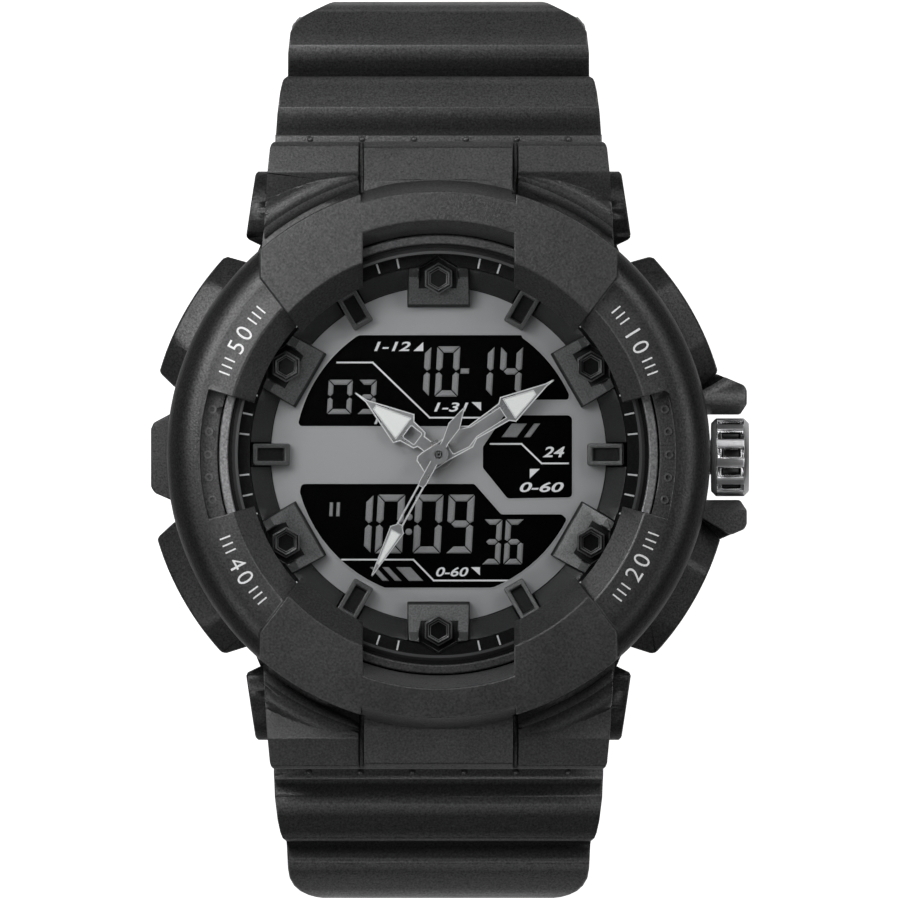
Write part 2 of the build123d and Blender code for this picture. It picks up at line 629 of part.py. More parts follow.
# ---------------------------------------------------------------- strap
def offset_points(pts, h):
    """The polyline moved sideways by h, to its left."""
    lines = []
    for (x0, y0), (x1, y1) in zip(pts, pts[1:]):
        n = math.hypot(x1 - x0, y1 - y0)
        nx, ny = -(y1 - y0) / n, (x1 - x0) / n
        lines.append(((x0 + nx * h, y0 + ny * h), (x1 + nx * h, y1 + ny * h)))
    out = [lines[0][0]]
    for (p, q), (r, s) in zip(lines, lines[1:]):
        d1 = (q[0] - p[0], q[1] - p[1])
        d2 = (s[0] - r[0], s[1] - r[1])
        den = d1[0] * d2[1] - d1[1] * d2[0]
        t = ((r[0] - p[0]) * d2[1] - (r[1] - p[1]) * d2[0]) / den
        out.append((p[0] + t * d1[0], p[1] + t * d1[1]))
    out.append(lines[-1][1])
    return out


def band(pts, radii, h0, h1, x0, x1):
    """A strip between two offsets of a rounded path in (y, z), along X. Positive offsets lie to the left of the path,
    and a right-hand bend of radius R has radius R + h there."""
    turns = []
    for a, b, c in zip(pts, pts[1:], pts[2:]):
        cross = (b[0] - a[0]) * (c[1] - b[1]) - (b[1] - a[1]) * (c[0] - b[0])
        turns.append(1 if cross < 0 else -1)
    sides = []
    for h in (h0, h1):
        p = [Vector(0, y, z) for y, z in offset_points(pts, h)]
        r = [R + s * h for R, s in zip(radii, turns)]
        sides.append(FilletPolyline(*p, radius=r))
    a, b = sides
    face = make_face([*a.edges(), *b.edges(), Line(a @ 0, b @ 0), Line(a @ 1, b @ 1)])
    return extrude(Pos(x0, 0, 0) * face, amount=x1 - x0, dir=(1, 0, 0))


# Paths of the strap's middle in (y, z), from the spring bar outwards.
PATH_12 = [(22.4, 5.4), (29.6, 5.7), (35.2, 1.7), (37.9, -5.3), (37.9, BUCKLE_Z), (BUCKLE_Y, BUCKLE_Z)]
RADII_12 = [9.0, 8.5, 18.0, 14.0]
PATH_6 = [(22.4, 5.4), (29.8, 5.7), (35.2, 1.9), (37.2, -5.3), (37.2, TAIL_Z), (-24.0, TAIL_Z)]
RADII_6 = [9.0, 8.5, 18.0, 22.0]


def armour(skin_outer, skin_inner, plan, end):
    """The raised plates next to the case: a profile in (y, z), cut to the outline seen from above."""
    wires = []
    for kind, *pts in skin_outer:
        if kind == "line":
            wires.append(Polyline(*[(0, y, z) for y, z in pts]))
        else:
            wires.append(ThreePointArc(*[(0, y, z) for y, z in pts]))
    wires.append(Polyline(*[(0, y, z) for y, z in skin_inner]))
    edges = [e for w in wires for e in w.edges()]
    face = make_face(edges)
    body = extrude(Pos(-15, 0, 0) * face, amount=30, dir=(1, 0, 0))
    pts = [(w, y) for y, w in plan]
    body &= slab(pts + [(-x, y) for x, y in reversed(pts)], -30, 15)
    return body & prism_y(end, 10, 45)


def strap_12():
    body = band(PATH_12, RADII_12, -BAND_HALF, BAND_HALF, -14.9, 14.9)
    front = [(-15, 10), (15, 10), (15, 3), (13.4, 0), (12.6, -8), (11.6, -17), (10.0, -25), (9.5, -28), (9.5, -36),
             (-9.5, -36), (-9.5, -28), (-10.0, -25), (-11.6, -17), (-12.6, -8), (-13.4, 0), (-15, 3)]
    body &= prism_y(front, 0, 45)
    body &= box(-9.5, 9.5, 0, 30, -60, -20) + slab([(-14.65, 18), (14.65, 18), (14.65, 26), (14.5, 28.9), (14.2, 30.9), (13.3, 34.0),
                                                   (13.0, 45), (-13.0, 45), (-13.3, 34.0), (-14.2, 30.9), (-14.5, 28.9), (-14.65, 26)], -60, 20)
    # nothing of the plain band stands out of the plates
    body -= prism_x([(20.0, 6.85), (28.6, 6.85), (28.6, 5.4), (29.4, 5.4), (31.0, 5.9), (33.85, 4.3), (33.85, 2.2), (34.6, 2.5),
                     (36.6, 2.9), (39.9, 0.2), (42.0, 0.0), (42.0, 14.0), (20.0, 14.0)], -16, 16)
    plates = armour(
        [("line", (22.4, 5.4), (22.4, 6.9), (28.52, 7.0), (28.62, 6.9), (28.66, 5.5)),
         ("arc", (28.66, 5.5), (29.95, 6.2), (31.15, 6.45)),
         ("line", (31.15, 6.45), (33.62, 5.0), (33.84, 4.82), (33.9, 4.6), (33.92, 2.45)),
         ("arc", (33.92, 2.45), (35.1, 3.3), (36.75, 3.75)),
         ("line", (36.75, 3.75), (39.55, 1.6), (39.8, 1.38)),
         ("arc", (39.8, 1.38), (40.45, 0.5), (40.66, -0.6)),
         ("line", (40.66, -0.6), (40.66, -7.7), (39.3, -8.8), (37.9, -9.0))],
        [(37.9, -9.0), (37.6, -6.0), (36.3, -2.0), (34.3, 1.4), (31.0, 4.2), (28.5, 5.3), (22.4, 5.4)],
        [(18.0, 14.65), (26.0, 14.65), (28.64, 14.62), (28.67, 14.58), (30.5, 14.45), (32.5, 14.2), (33.4, 14.0), (33.7, 13.85),
         (33.88, 13.55), (33.93, 13.52), (36.0, 13.5), (37.9, 13.3), (38.75, 12.85), (39.25, 12.3), (39.85, 11.2), (40.3, 10.3),
         (40.55, 9.75), (40.7, 9.2)],
        [(-15, 13), (15, 13), (15, -5.2), (12.9, -7.4), (11.2, -8.5), (-11.2, -8.5), (-12.9, -7.4), (-15, -5.2)],
    )
    body = body + plates
    body += rod((-14.9, HINGE_Y, HINGE_Z), (14.9, HINGE_Y, HINGE_Z), R_BARREL)
    # barrel round the buckle's bar, with a gap for the tang
    body += rod((-9.5, BUCKLE_Y, BUCKLE_Z), (9.5, BUCKLE_Y, BUCKLE_Z), 1.5)
    body -= rod((-10, BUCKLE_Y, BUCKLE_Z), (10, BUCKLE_Y, BUCKLE_Z), 0.66)
    body -= box(-1.35, 1.35, BUCKLE_Y - 3, BUCKLE_Y + 2.6, BUCKLE_Z - 3, BUCKLE_Z + 3)
    body -= rod((-15, HINGE_Y, HINGE_Z), (15, HINGE_Y, HINGE_Z), 0.8)
    # row of small domes next to the bezel
    for x in (-11.5, -6.85, -2.2, 2.45, 7.0, 11.65):
        body += Pos(x, 28.22, 6.9) * Sphere(0.3)
    return body


def strap_6():
    """Built towards +Y and then mirrored to the 6 side."""
    body = band(PATH_6, RADII_6, -BAND_HALF, BAND_HALF, -14.9, 14.9)
    front = [(-15, 10), (15, 10), (15, 3), (13.4, 0), (12.8, -8), (11.9, -20), (10.6, -34), (9.5, -46), (9.5, -52),
             (-9.5, -52), (-9.5, -46), (-10.6, -34), (-11.9, -20), (-12.8, -8), (-13.4, 0), (-15, 3)]
    body &= prism_y(front, -30, 45)
    # rounded tip of the tail
    tip = -24.0
    keep = slab([(-14.75, 18), (14.75, 18), (14.75, 26), (14.6, 29.0), (14.3, 31.2), (13.4, 34.8), (13.1, 45), (-13.1, 45),
                 (-13.4, 34.8), (-14.3, 31.2), (-14.6, 29.0), (-14.75, 26)], -60, 20)
    keep += box(-9.5, 9.5, tip + 9.5, 30, -60, -20)
    keep += disc(9.5, -60, -20, 0, tip + 9.5)
    body &= keep
    body -= prism_x([(20.0, 6.85), (29.1, 6.85), (29.1, 5.4), (29.8, 5.4), (31.2, 5.8), (34.55, 4.0), (34.6, 1.75), (35.3, 2.0), (36.2, 2.2),
                     (37.2, 1.2), (39.5, -0.8), (42.0, -1.0), (42.0, 14.0), (20.0, 14.0)], -16, 16)
    plates = armour(
        [("line", (22.4, 5.4), (22.4, 6.9), (29.0, 7.0), (29.1, 6.9), (29.16, 5.55)),
         ("arc", (29.16, 5.55), (30.3, 6.15), (31.3, 6.35)),
         ("line", (31.3, 6.35), (34.35, 4.7), (34.58, 4.5), (34.65, 4.3), (34.7, 2.05)),
         ("arc", (34.7, 2.05), (35.6, 2.75), (36.7, 3.2)),
         ("line", (36.7, 3.2), (38.95, 0.9), (39.2, 0.6)),
         ("arc", (39.2, 0.6), (39.7, -0.3), (39.84, -1.4)),
         ("line", (39.84, -1.4), (39.84, -7.7), (38.6, -8.8), (37.2, -9.0))],
        [(37.2, -9.0), (36.9, -6.0), (35.9, -2.0), (34.4, 1.1), (31.0, 4.2), (28.5, 5.3), (22.4, 5.4)],
        [(18.0, 14.77), (28.5, 14.76), (30.7, 14.67), (32.8, 14.42), (33.9, 14.18), (34.4, 13.97), (34.65, 13.67), (35.0, 13.62),
         (37.1, 13.52), (38.0, 13.37), (38.7, 12.97), (39.2, 12.42), (39.55, 11.7), (39.75, 11.0), (39.85, 10.3)],
        [(-15, 13), (15, 13), (15, -5.2), (12.9, -7.4), (11.2, -8.5), (-11.2, -8.5), (-12.9, -7.4), (-15, -5.2)],
    )
    body = body + plates
    body += rod((-14.9, HINGE_Y, HINGE_Z), (14.9, HINGE_Y, HINGE_Z), R_BARREL)
    body -= rod((-15, HINGE_Y, HINGE_Z), (15, HINGE_Y, HINGE_Z), 0.8)
    # holes for the tang
    for i in range(7):
        body -= disc(1.15, TAIL_Z - 3, TAIL_Z + 3, 0, tip + 6.5 + 5.2 * i)
    for x in (-11.6, -7.0, -2.35, 2.3, 6.95, 11.6):
        body += Pos(x, 28.45, 6.92) * Sphere(0.3)
    return mirror_y(body)


def spring_bars():
    out = []
    for s in (1, -1):
        b = rod((-14.95, s * HINGE_Y, HINGE_Z), (14.95, s * HINGE_Y, HINGE_Z), 0.75)
        b += rod((-16.0, s * HINGE_Y, HINGE_Z), (16.0, s * HINGE_Y, HINGE_Z), 0.45)
        out.append(b)
    return out


def keeper(y0, y1):
    """A loop round the strap's end with room for the tail below it."""
    z1 = BUCKLE_Z + 1.62
    z0 = BUCKLE_Z - 1.5 - 3.3
    outer = extrude(Plane(origin=(0, y0, (z0 + z1) / 2), z_dir=(0, 1, 0), x_dir=(1, 0, 0))
                    * RectangleRounded(2 * 11.0, z1 - z0 + 2.2, 1.6), amount=y1 - y0)
    inner = extrude(Plane(origin=(0, y0 - 1, (z0 + z1) / 2), z_dir=(0, 1, 0), x_dir=(1, 0, 0))
                    * RectangleRounded(2 * 9.8, z1 - z0, 0.6), amount=y1 - y0 + 2)
    return outer - inner


def fixed_keeper():
    # its upper bar sits in the strap's inner face
    k = keeper(9.6, 12.8)
    return k + box(-9.0, 9.0, 9.9, 12.5, BUCKLE_Z + BAND_HALF, BUCKLE_Z + 1.8)


def buckle():
    """Frame hanging straight down from its bar."""
    z = BUCKLE_Z
    f = box(-11.6, 11.6, BUCKLE_Y - 1.1, BUCKLE_Y + 1.1, z - 12.0, z + 1.2)
    f -= box(-9.75, 9.75, BUCKLE_Y - 3, BUCKLE_Y + 3, z - 9.9, z + 3)
    for s in (-1, 1):
        f += rod((s * 9.75, BUCKLE_Y, z), (s * 11.6, BUCKLE_Y, z), 1.45)
    edges = f.edges().filter_by(Axis.Y).sort_by(Axis.Z)[:2]
    f = fillet(edges, 1.8)
    f -= rod((-11.2, BUCKLE_Y, z), (11.2, BUCKLE_Y, z), 0.45)
    # shallow seat for the tang's tip
    f -= box(-1.2, 1.2, BUCKLE_Y - 1.2, BUCKLE_Y - 0.7, z - 12.5, z - 9.5)
    return f


def tang():
    z = BUCKLE_Z
    t = rod((-1.1, BUCKLE_Y, z), (1.1, BUCKLE_Y, z), 1.25)
    t += prism_x([(5.9, z - 0.2), (4.8, z - 1.0), (4.35, z - 3.0), (4.35, z - 11.6), (4.6, z - 12.3), (5.2, z - 12.3),
                  (5.22, z - 9.6), (5.3, z - 3.0), (5.9, z - 1.6)], -0.85, 0.85)
    t -= rod((-2, BUCKLE_Y, z), (2, BUCKLE_Y, z), 0.66)
    return t


def buckle_bar():
    z = BUCKLE_Z
    return rod((-9.7, BUCKLE_Y, z), (9.7, BUCKLE_Y, z), 0.6) + rod((-11.15, BUCKLE_Y, z), (11.15, BUCKLE_Y, z), 0.4)


# ---------------------------------------------------------------- write the pieces
glass = disc(R_GLASS, Z_GLASS0, Z_GLASS1)
glass = glass.chamfer(0.28, None, glass.edges().filter_by(GeomType.CIRCLE).sort_by(Axis.Z)[-1:])

PIECES = {
    "bezel": bezel(),
    "case_middle": case_middle(),
    "inner_bezel_ring": rev([(17.95, 11.62), (19.62, 11.62), (19.62, 13.74), (19.52, 13.85), (18.9, 13.85),
                             (18.8, 13.72), (18.8, 12.0), (17.95, 12.0)]),
    "crystal": glass,
    "crystal_gasket": ring(18.48, 18.79, 12.02, 13.3),
    "chapter_ring": chapter_ring(),
    "hour_ring": hour_ring(),
    "hex_studs": hex_studs(),
    "frame_markers": frame_markers(),
    "dial": dial(),
    "lcd_panel": disc(14.0, 8.0, 8.65) - disc(1.7, 7, 9),
    "backlight_panel": disc(12.3, 7.72, 7.95) - disc(1.7, 7, 9),
    "display_connectors": [box(-5, 5, 12.45, 13.25, 4.93, 7.97), box(-5, 5, -13.25, -12.45, 4.93, 7.97)],
    "circuit_board": circuit_board(),
    "battery": disc(10.0, 1.75, 3.1, -1.5, -2.5) + disc(9.2, 3.1, 4.25, -1.5, -2.5),
    "battery_clamp": box(-12.5, 9.5, -5.5, 0.5, 1.48, 1.7) - disc(1.0, 1, 2, -11.6, -2.5),
    "module_holder": module_holder(),
    "mainplate": mainplate(),
    "train_bridge": train_bridge(),
    "coil": coil(),
    "stator": stator(),
    "rotor": rotor(),
    "third_wheel": third_wheel(),
    "seconds_arbor": seconds_arbor(),
    "centre_wheel": centre_wheel(),
    "minute_work_wheel": minute_work_wheel(),
    "hour_wheel": hour_wheel(),
    "hour_hand": hour_hand(),
    "minute_hand": minute_hand(),
    "second_hand": second_hand(),
    "hour_lume": hour_lume(),
    "minute_lume": minute_lume(),
    "second_lume": second_lume(),
    "crown": crown(),
    "stem": stem(),
    "stem_seal": stem_seal(),
    "crown_tube": crown_tube(),
    "setting_lever": setting_lever(),
    "pusher_springs": pusher_springs(),
    "pusher_seals": pusher_seals(),
    "case_back": case_back(),
    "case_back_seal": ring(17.65, 18.25, Z_BACK + 0.01, 1.74),
    "case_back_screws": case_back_screws(),
    "buzzer": disc(3.8, 1.42, 1.7, 6.9, 6.9),
    "strap_12": strap_12(),
    "strap_6": strap_6(),
    "spring_bars": spring_bars(),
    "fixed_keeper": fixed_keeper(),
    "free_keeper": keeper(15.0, 18.2),
    "buckle": buckle(),
    "tang": tang(),
    "buckle_bar": buckle_bar(),
}
for key, angle in PUSH_ANGLES.items():
    PIECES["pusher_" + key] = pusher(angle, *PUSH_SHAPE[key])
    PIECES["pusher_clip_" + key] = pusher_clip(angle)

for node, shape in PIECES.items():
    save(node, shape)
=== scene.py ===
import bpy
import bmesh
import json
import math
from mathutils import Matrix, Vector
from mathutils.bvhtree import BVHTree

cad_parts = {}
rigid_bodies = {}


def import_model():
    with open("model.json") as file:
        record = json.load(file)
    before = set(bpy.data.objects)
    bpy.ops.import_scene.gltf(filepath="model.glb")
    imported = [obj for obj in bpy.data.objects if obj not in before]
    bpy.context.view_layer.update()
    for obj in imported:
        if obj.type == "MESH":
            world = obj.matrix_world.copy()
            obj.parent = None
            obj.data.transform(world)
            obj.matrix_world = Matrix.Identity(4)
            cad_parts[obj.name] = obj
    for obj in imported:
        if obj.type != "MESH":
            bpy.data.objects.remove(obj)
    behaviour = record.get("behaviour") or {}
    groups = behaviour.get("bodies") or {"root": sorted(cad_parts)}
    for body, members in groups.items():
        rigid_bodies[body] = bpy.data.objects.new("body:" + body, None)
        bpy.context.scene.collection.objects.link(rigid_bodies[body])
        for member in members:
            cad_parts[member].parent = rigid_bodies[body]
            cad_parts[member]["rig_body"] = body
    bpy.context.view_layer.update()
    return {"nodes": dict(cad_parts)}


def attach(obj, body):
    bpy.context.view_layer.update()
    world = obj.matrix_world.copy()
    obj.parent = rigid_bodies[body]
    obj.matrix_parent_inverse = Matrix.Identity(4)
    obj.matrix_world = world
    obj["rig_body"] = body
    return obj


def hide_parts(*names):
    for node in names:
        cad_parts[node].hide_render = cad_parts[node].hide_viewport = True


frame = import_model()
nodes = frame["nodes"]
MM = 0.001
K = 11.2  # picture pixels per millimetre at the bezel
scene = bpy.context.scene


# ------------------------------------------------------------------ camera
CAM_X, CAM_Y = (450 - 438.5) / K, (454.5 - 450) / K
LENS, SENSOR = 1200.0, 36.0
DIST = LENS / SENSOR * (900 / K)
cam_data = bpy.data.cameras.new("cam")
cam_data.lens = LENS
cam_data.sensor_width = SENSOR
cam_data.clip_start, cam_data.clip_end = 0.5, 20.0
cam = bpy.data.objects.new("cam", cam_data)
scene.collection.objects.link(cam)
cam.location = (CAM_X * MM, CAM_Y * MM, (15.0 + DIST) * MM)
cam.rotation_euler = (0, 0, 0)
scene.camera = cam
scene.view_settings.view_transform = "Standard"


# ------------------------------------------------------------------ materials
def new_mat(name):
    m = bpy.data.materials.new(name)
    m.use_nodes = True
    nt = m.node_tree
    nt.nodes.clear()
    out = nt.nodes.new("ShaderNodeOutputMaterial")
    bsdf = nt.nodes.new("ShaderNodeBsdfPrincipled")
    nt.links.new(bsdf.outputs[0], out.inputs[0])
    return m, nt, bsdf


def noise(nt, coord, scale, detail=2.0, rough=0.5):
    n = nt.nodes.new("ShaderNodeTexNoise")
    n.inputs["Scale"].default_value = scale
    n.inputs["Detail"].default_value = detail
    n.inputs["Roughness"].default_value = rough
    nt.links.new(coord, n.inputs["Vector"])
    return n.outputs["Fac"]


def remap(nt, fac, a, b, lo=0.25, hi=0.75):
    r = nt.nodes.new("ShaderNodeMapRange")
    r.inputs["From Min"].default_value = lo
    r.inputs["From Max"].default_value = hi
    r.inputs["To Min"].default_value = a
    r.inputs["To Max"].default_value = b
    nt.links.new(fac, r.inputs["Value"])
    return r.outputs["Result"]


def blend_color(nt, fac, c1, c2):
    mx = nt.nodes.new("ShaderNodeMix")
    mx.data_type = "RGBA"
    mx.inputs[6].default_value = (*c1, 1)
    mx.inputs[7].default_value = (*c2, 1)
    nt.links.new(fac, mx.inputs[0])
    return mx.outputs[2]


def radius_of(nt, coord):
    """Distance from the watch's axis."""
    flat = nt.nodes.new("ShaderNodeVectorMath")
    flat.operation = "MULTIPLY"
    flat.inputs[1].default_value = (1, 1, 0)
    nt.links.new(coord, flat.inputs[0])
    length = nt.nodes.new("ShaderNodeVectorMath")
    length.operation = "LENGTH"
    nt.links.new(flat.outputs[0], length.inputs[0])
    return length.outputs["Value"]


def surface(name, base, rough, metallic=0.0, grain=9000.0, vary=0.15, patch=250.0, bump=0.3, depth=0.03,
            rough_vary=0.06, spec=0.5, coat=0.0, stretch=None, rolloff=None, bands=None):
    """Moulded, cast or plated surface: fine grain in colour and bump, slow patches in roughness. Each (r0, r1, k) of
    rolloff darkens it by k from radius r0 to r1, in millimetres: painted shade over a rounded edge that turns away
    from the light. bands are (y, k) along Y: painted highlight on crests, painted shade in hollows."""
    m, nt, bsdf = new_mat(name)
    tc = nt.nodes.new("ShaderNodeTexCoord")
    coord = tc.outputs["Object"]
    if stretch:
        mp = nt.nodes.new("ShaderNodeMapping")
        mp.inputs["Scale"].default_value = stretch
        nt.links.new(coord, mp.inputs["Vector"])
        coord = mp.outputs["Vector"]
    fine = noise(nt, coord, grain, 2.0, 0.6)
    slow = noise(nt, coord, patch, 3.0, 0.5)
    k = remap(nt, fine, 0.0, 1.0)
    lo = tuple(c * (1 - vary) for c in base)
    hi = tuple(min(1.0, c * (1 + vary)) for c in base)
    tone = blend_color(nt, k, lo, hi)
    gloss = remap(nt, fine, spec * (1 - vary), spec * (1 + vary))
    nt.links.new(remap(nt, slow, rough - rough_vary, rough + rough_vary), bsdf.inputs["Roughness"])
    bsdf.inputs["Metallic"].default_value = metallic
    if rolloff or bands:
        fall = band_factor(nt, tc.outputs["Object"], bands) if bands else None
        for r0, r1, dark in rolloff or ():
            step = remap(nt, radius_of(nt, tc.outputs["Object"]), 1.0, dark, r0 * MM, r1 * MM)
            if fall is not None:
                both = nt.nodes.new("ShaderNodeMath")
                both.operation = "MULTIPLY"
                nt.links.new(fall, both.inputs[0])
                nt.links.new(step, both.inputs[1])
                step = both.outputs[0]
            fall = step
        scale = nt.nodes.new("ShaderNodeVectorMath")
        scale.operation = "SCALE"
        nt.links.new(tone, scale.inputs[0])
        nt.links.new(fall, scale.inputs["Scale"])
        nt.links.new(scale.outputs[0], bsdf.inputs["Base Color"])
        dim = nt.nodes.new("ShaderNodeMath")
        dim.operation = "MULTIPLY"
        nt.links.new(gloss, dim.inputs[1])
        nt.links.new(fall, dim.inputs[0])
        nt.links.new(dim.outputs[0], bsdf.inputs["Specular IOR Level"])
    else:
        nt.links.new(tone, bsdf.inputs["Base Color"])
        nt.links.new(gloss, bsdf.inputs["Specular IOR Level"])
    if coat:
        bsdf.inputs["Coat Weight"].default_value = coat
        bsdf.inputs["Coat Roughness"].default_value = 0.12
    b = nt.nodes.new("ShaderNodeBump")
    b.inputs["Strength"].default_value = bump
    b.inputs["Distance"].default_value = depth * MM
    nt.links.new(fine, b.inputs["Height"])
    nt.links.new(b.outputs["Normal"], bsdf.inputs["Normal"])
    return m


def band_factor(nt, coord, bands):
    """A factor that follows bands along Y on the upper part of a piece, and is 1 below it."""
    axes = nt.nodes.new("ShaderNodeSeparateXYZ")
    nt.links.new(coord, axes.inputs[0])
    y0, y1 = bands[0][0], bands[-1][0]
    top = max(k for _, k in bands)
    along = remap(nt, axes.outputs["Y"], 0.0, 1.0, y0 * MM, y1 * MM)
    ramp = nt.nodes.new("ShaderNodeValToRGB")
    ramp.color_ramp.interpolation = "LINEAR"
    el = ramp.color_ramp.elements
    while len(el) < len(bands):
        el.new(0.5)
    for i, (y, k) in enumerate(bands):
        el[i].position = (y - y0) / (y1 - y0)
    for i, (y, k) in enumerate(bands):
        el[i].color = (k / top, k / top, k / top, 1)
    nt.links.new(along, ramp.inputs[0])
    scaled = nt.nodes.new("ShaderNodeMath")
    scaled.operation = "MULTIPLY"
    scaled.inputs[1].default_value = top
    nt.links.new(ramp.outputs["Color"], scaled.inputs[0])
    upper = remap(nt, axes.outputs["Z"], 0.0, 1.0, -12 * MM, -8 * MM)
    mix = nt.nodes.new("ShaderNodeMix")
    mix.inputs[2].default_value = 1.0
    nt.links.new(upper, mix.inputs[0])
    nt.links.new(scaled.outputs[0], mix.inputs[3])
    return mix.outputs[0]


def grey(v):
    return (v, v, v * 1.02)


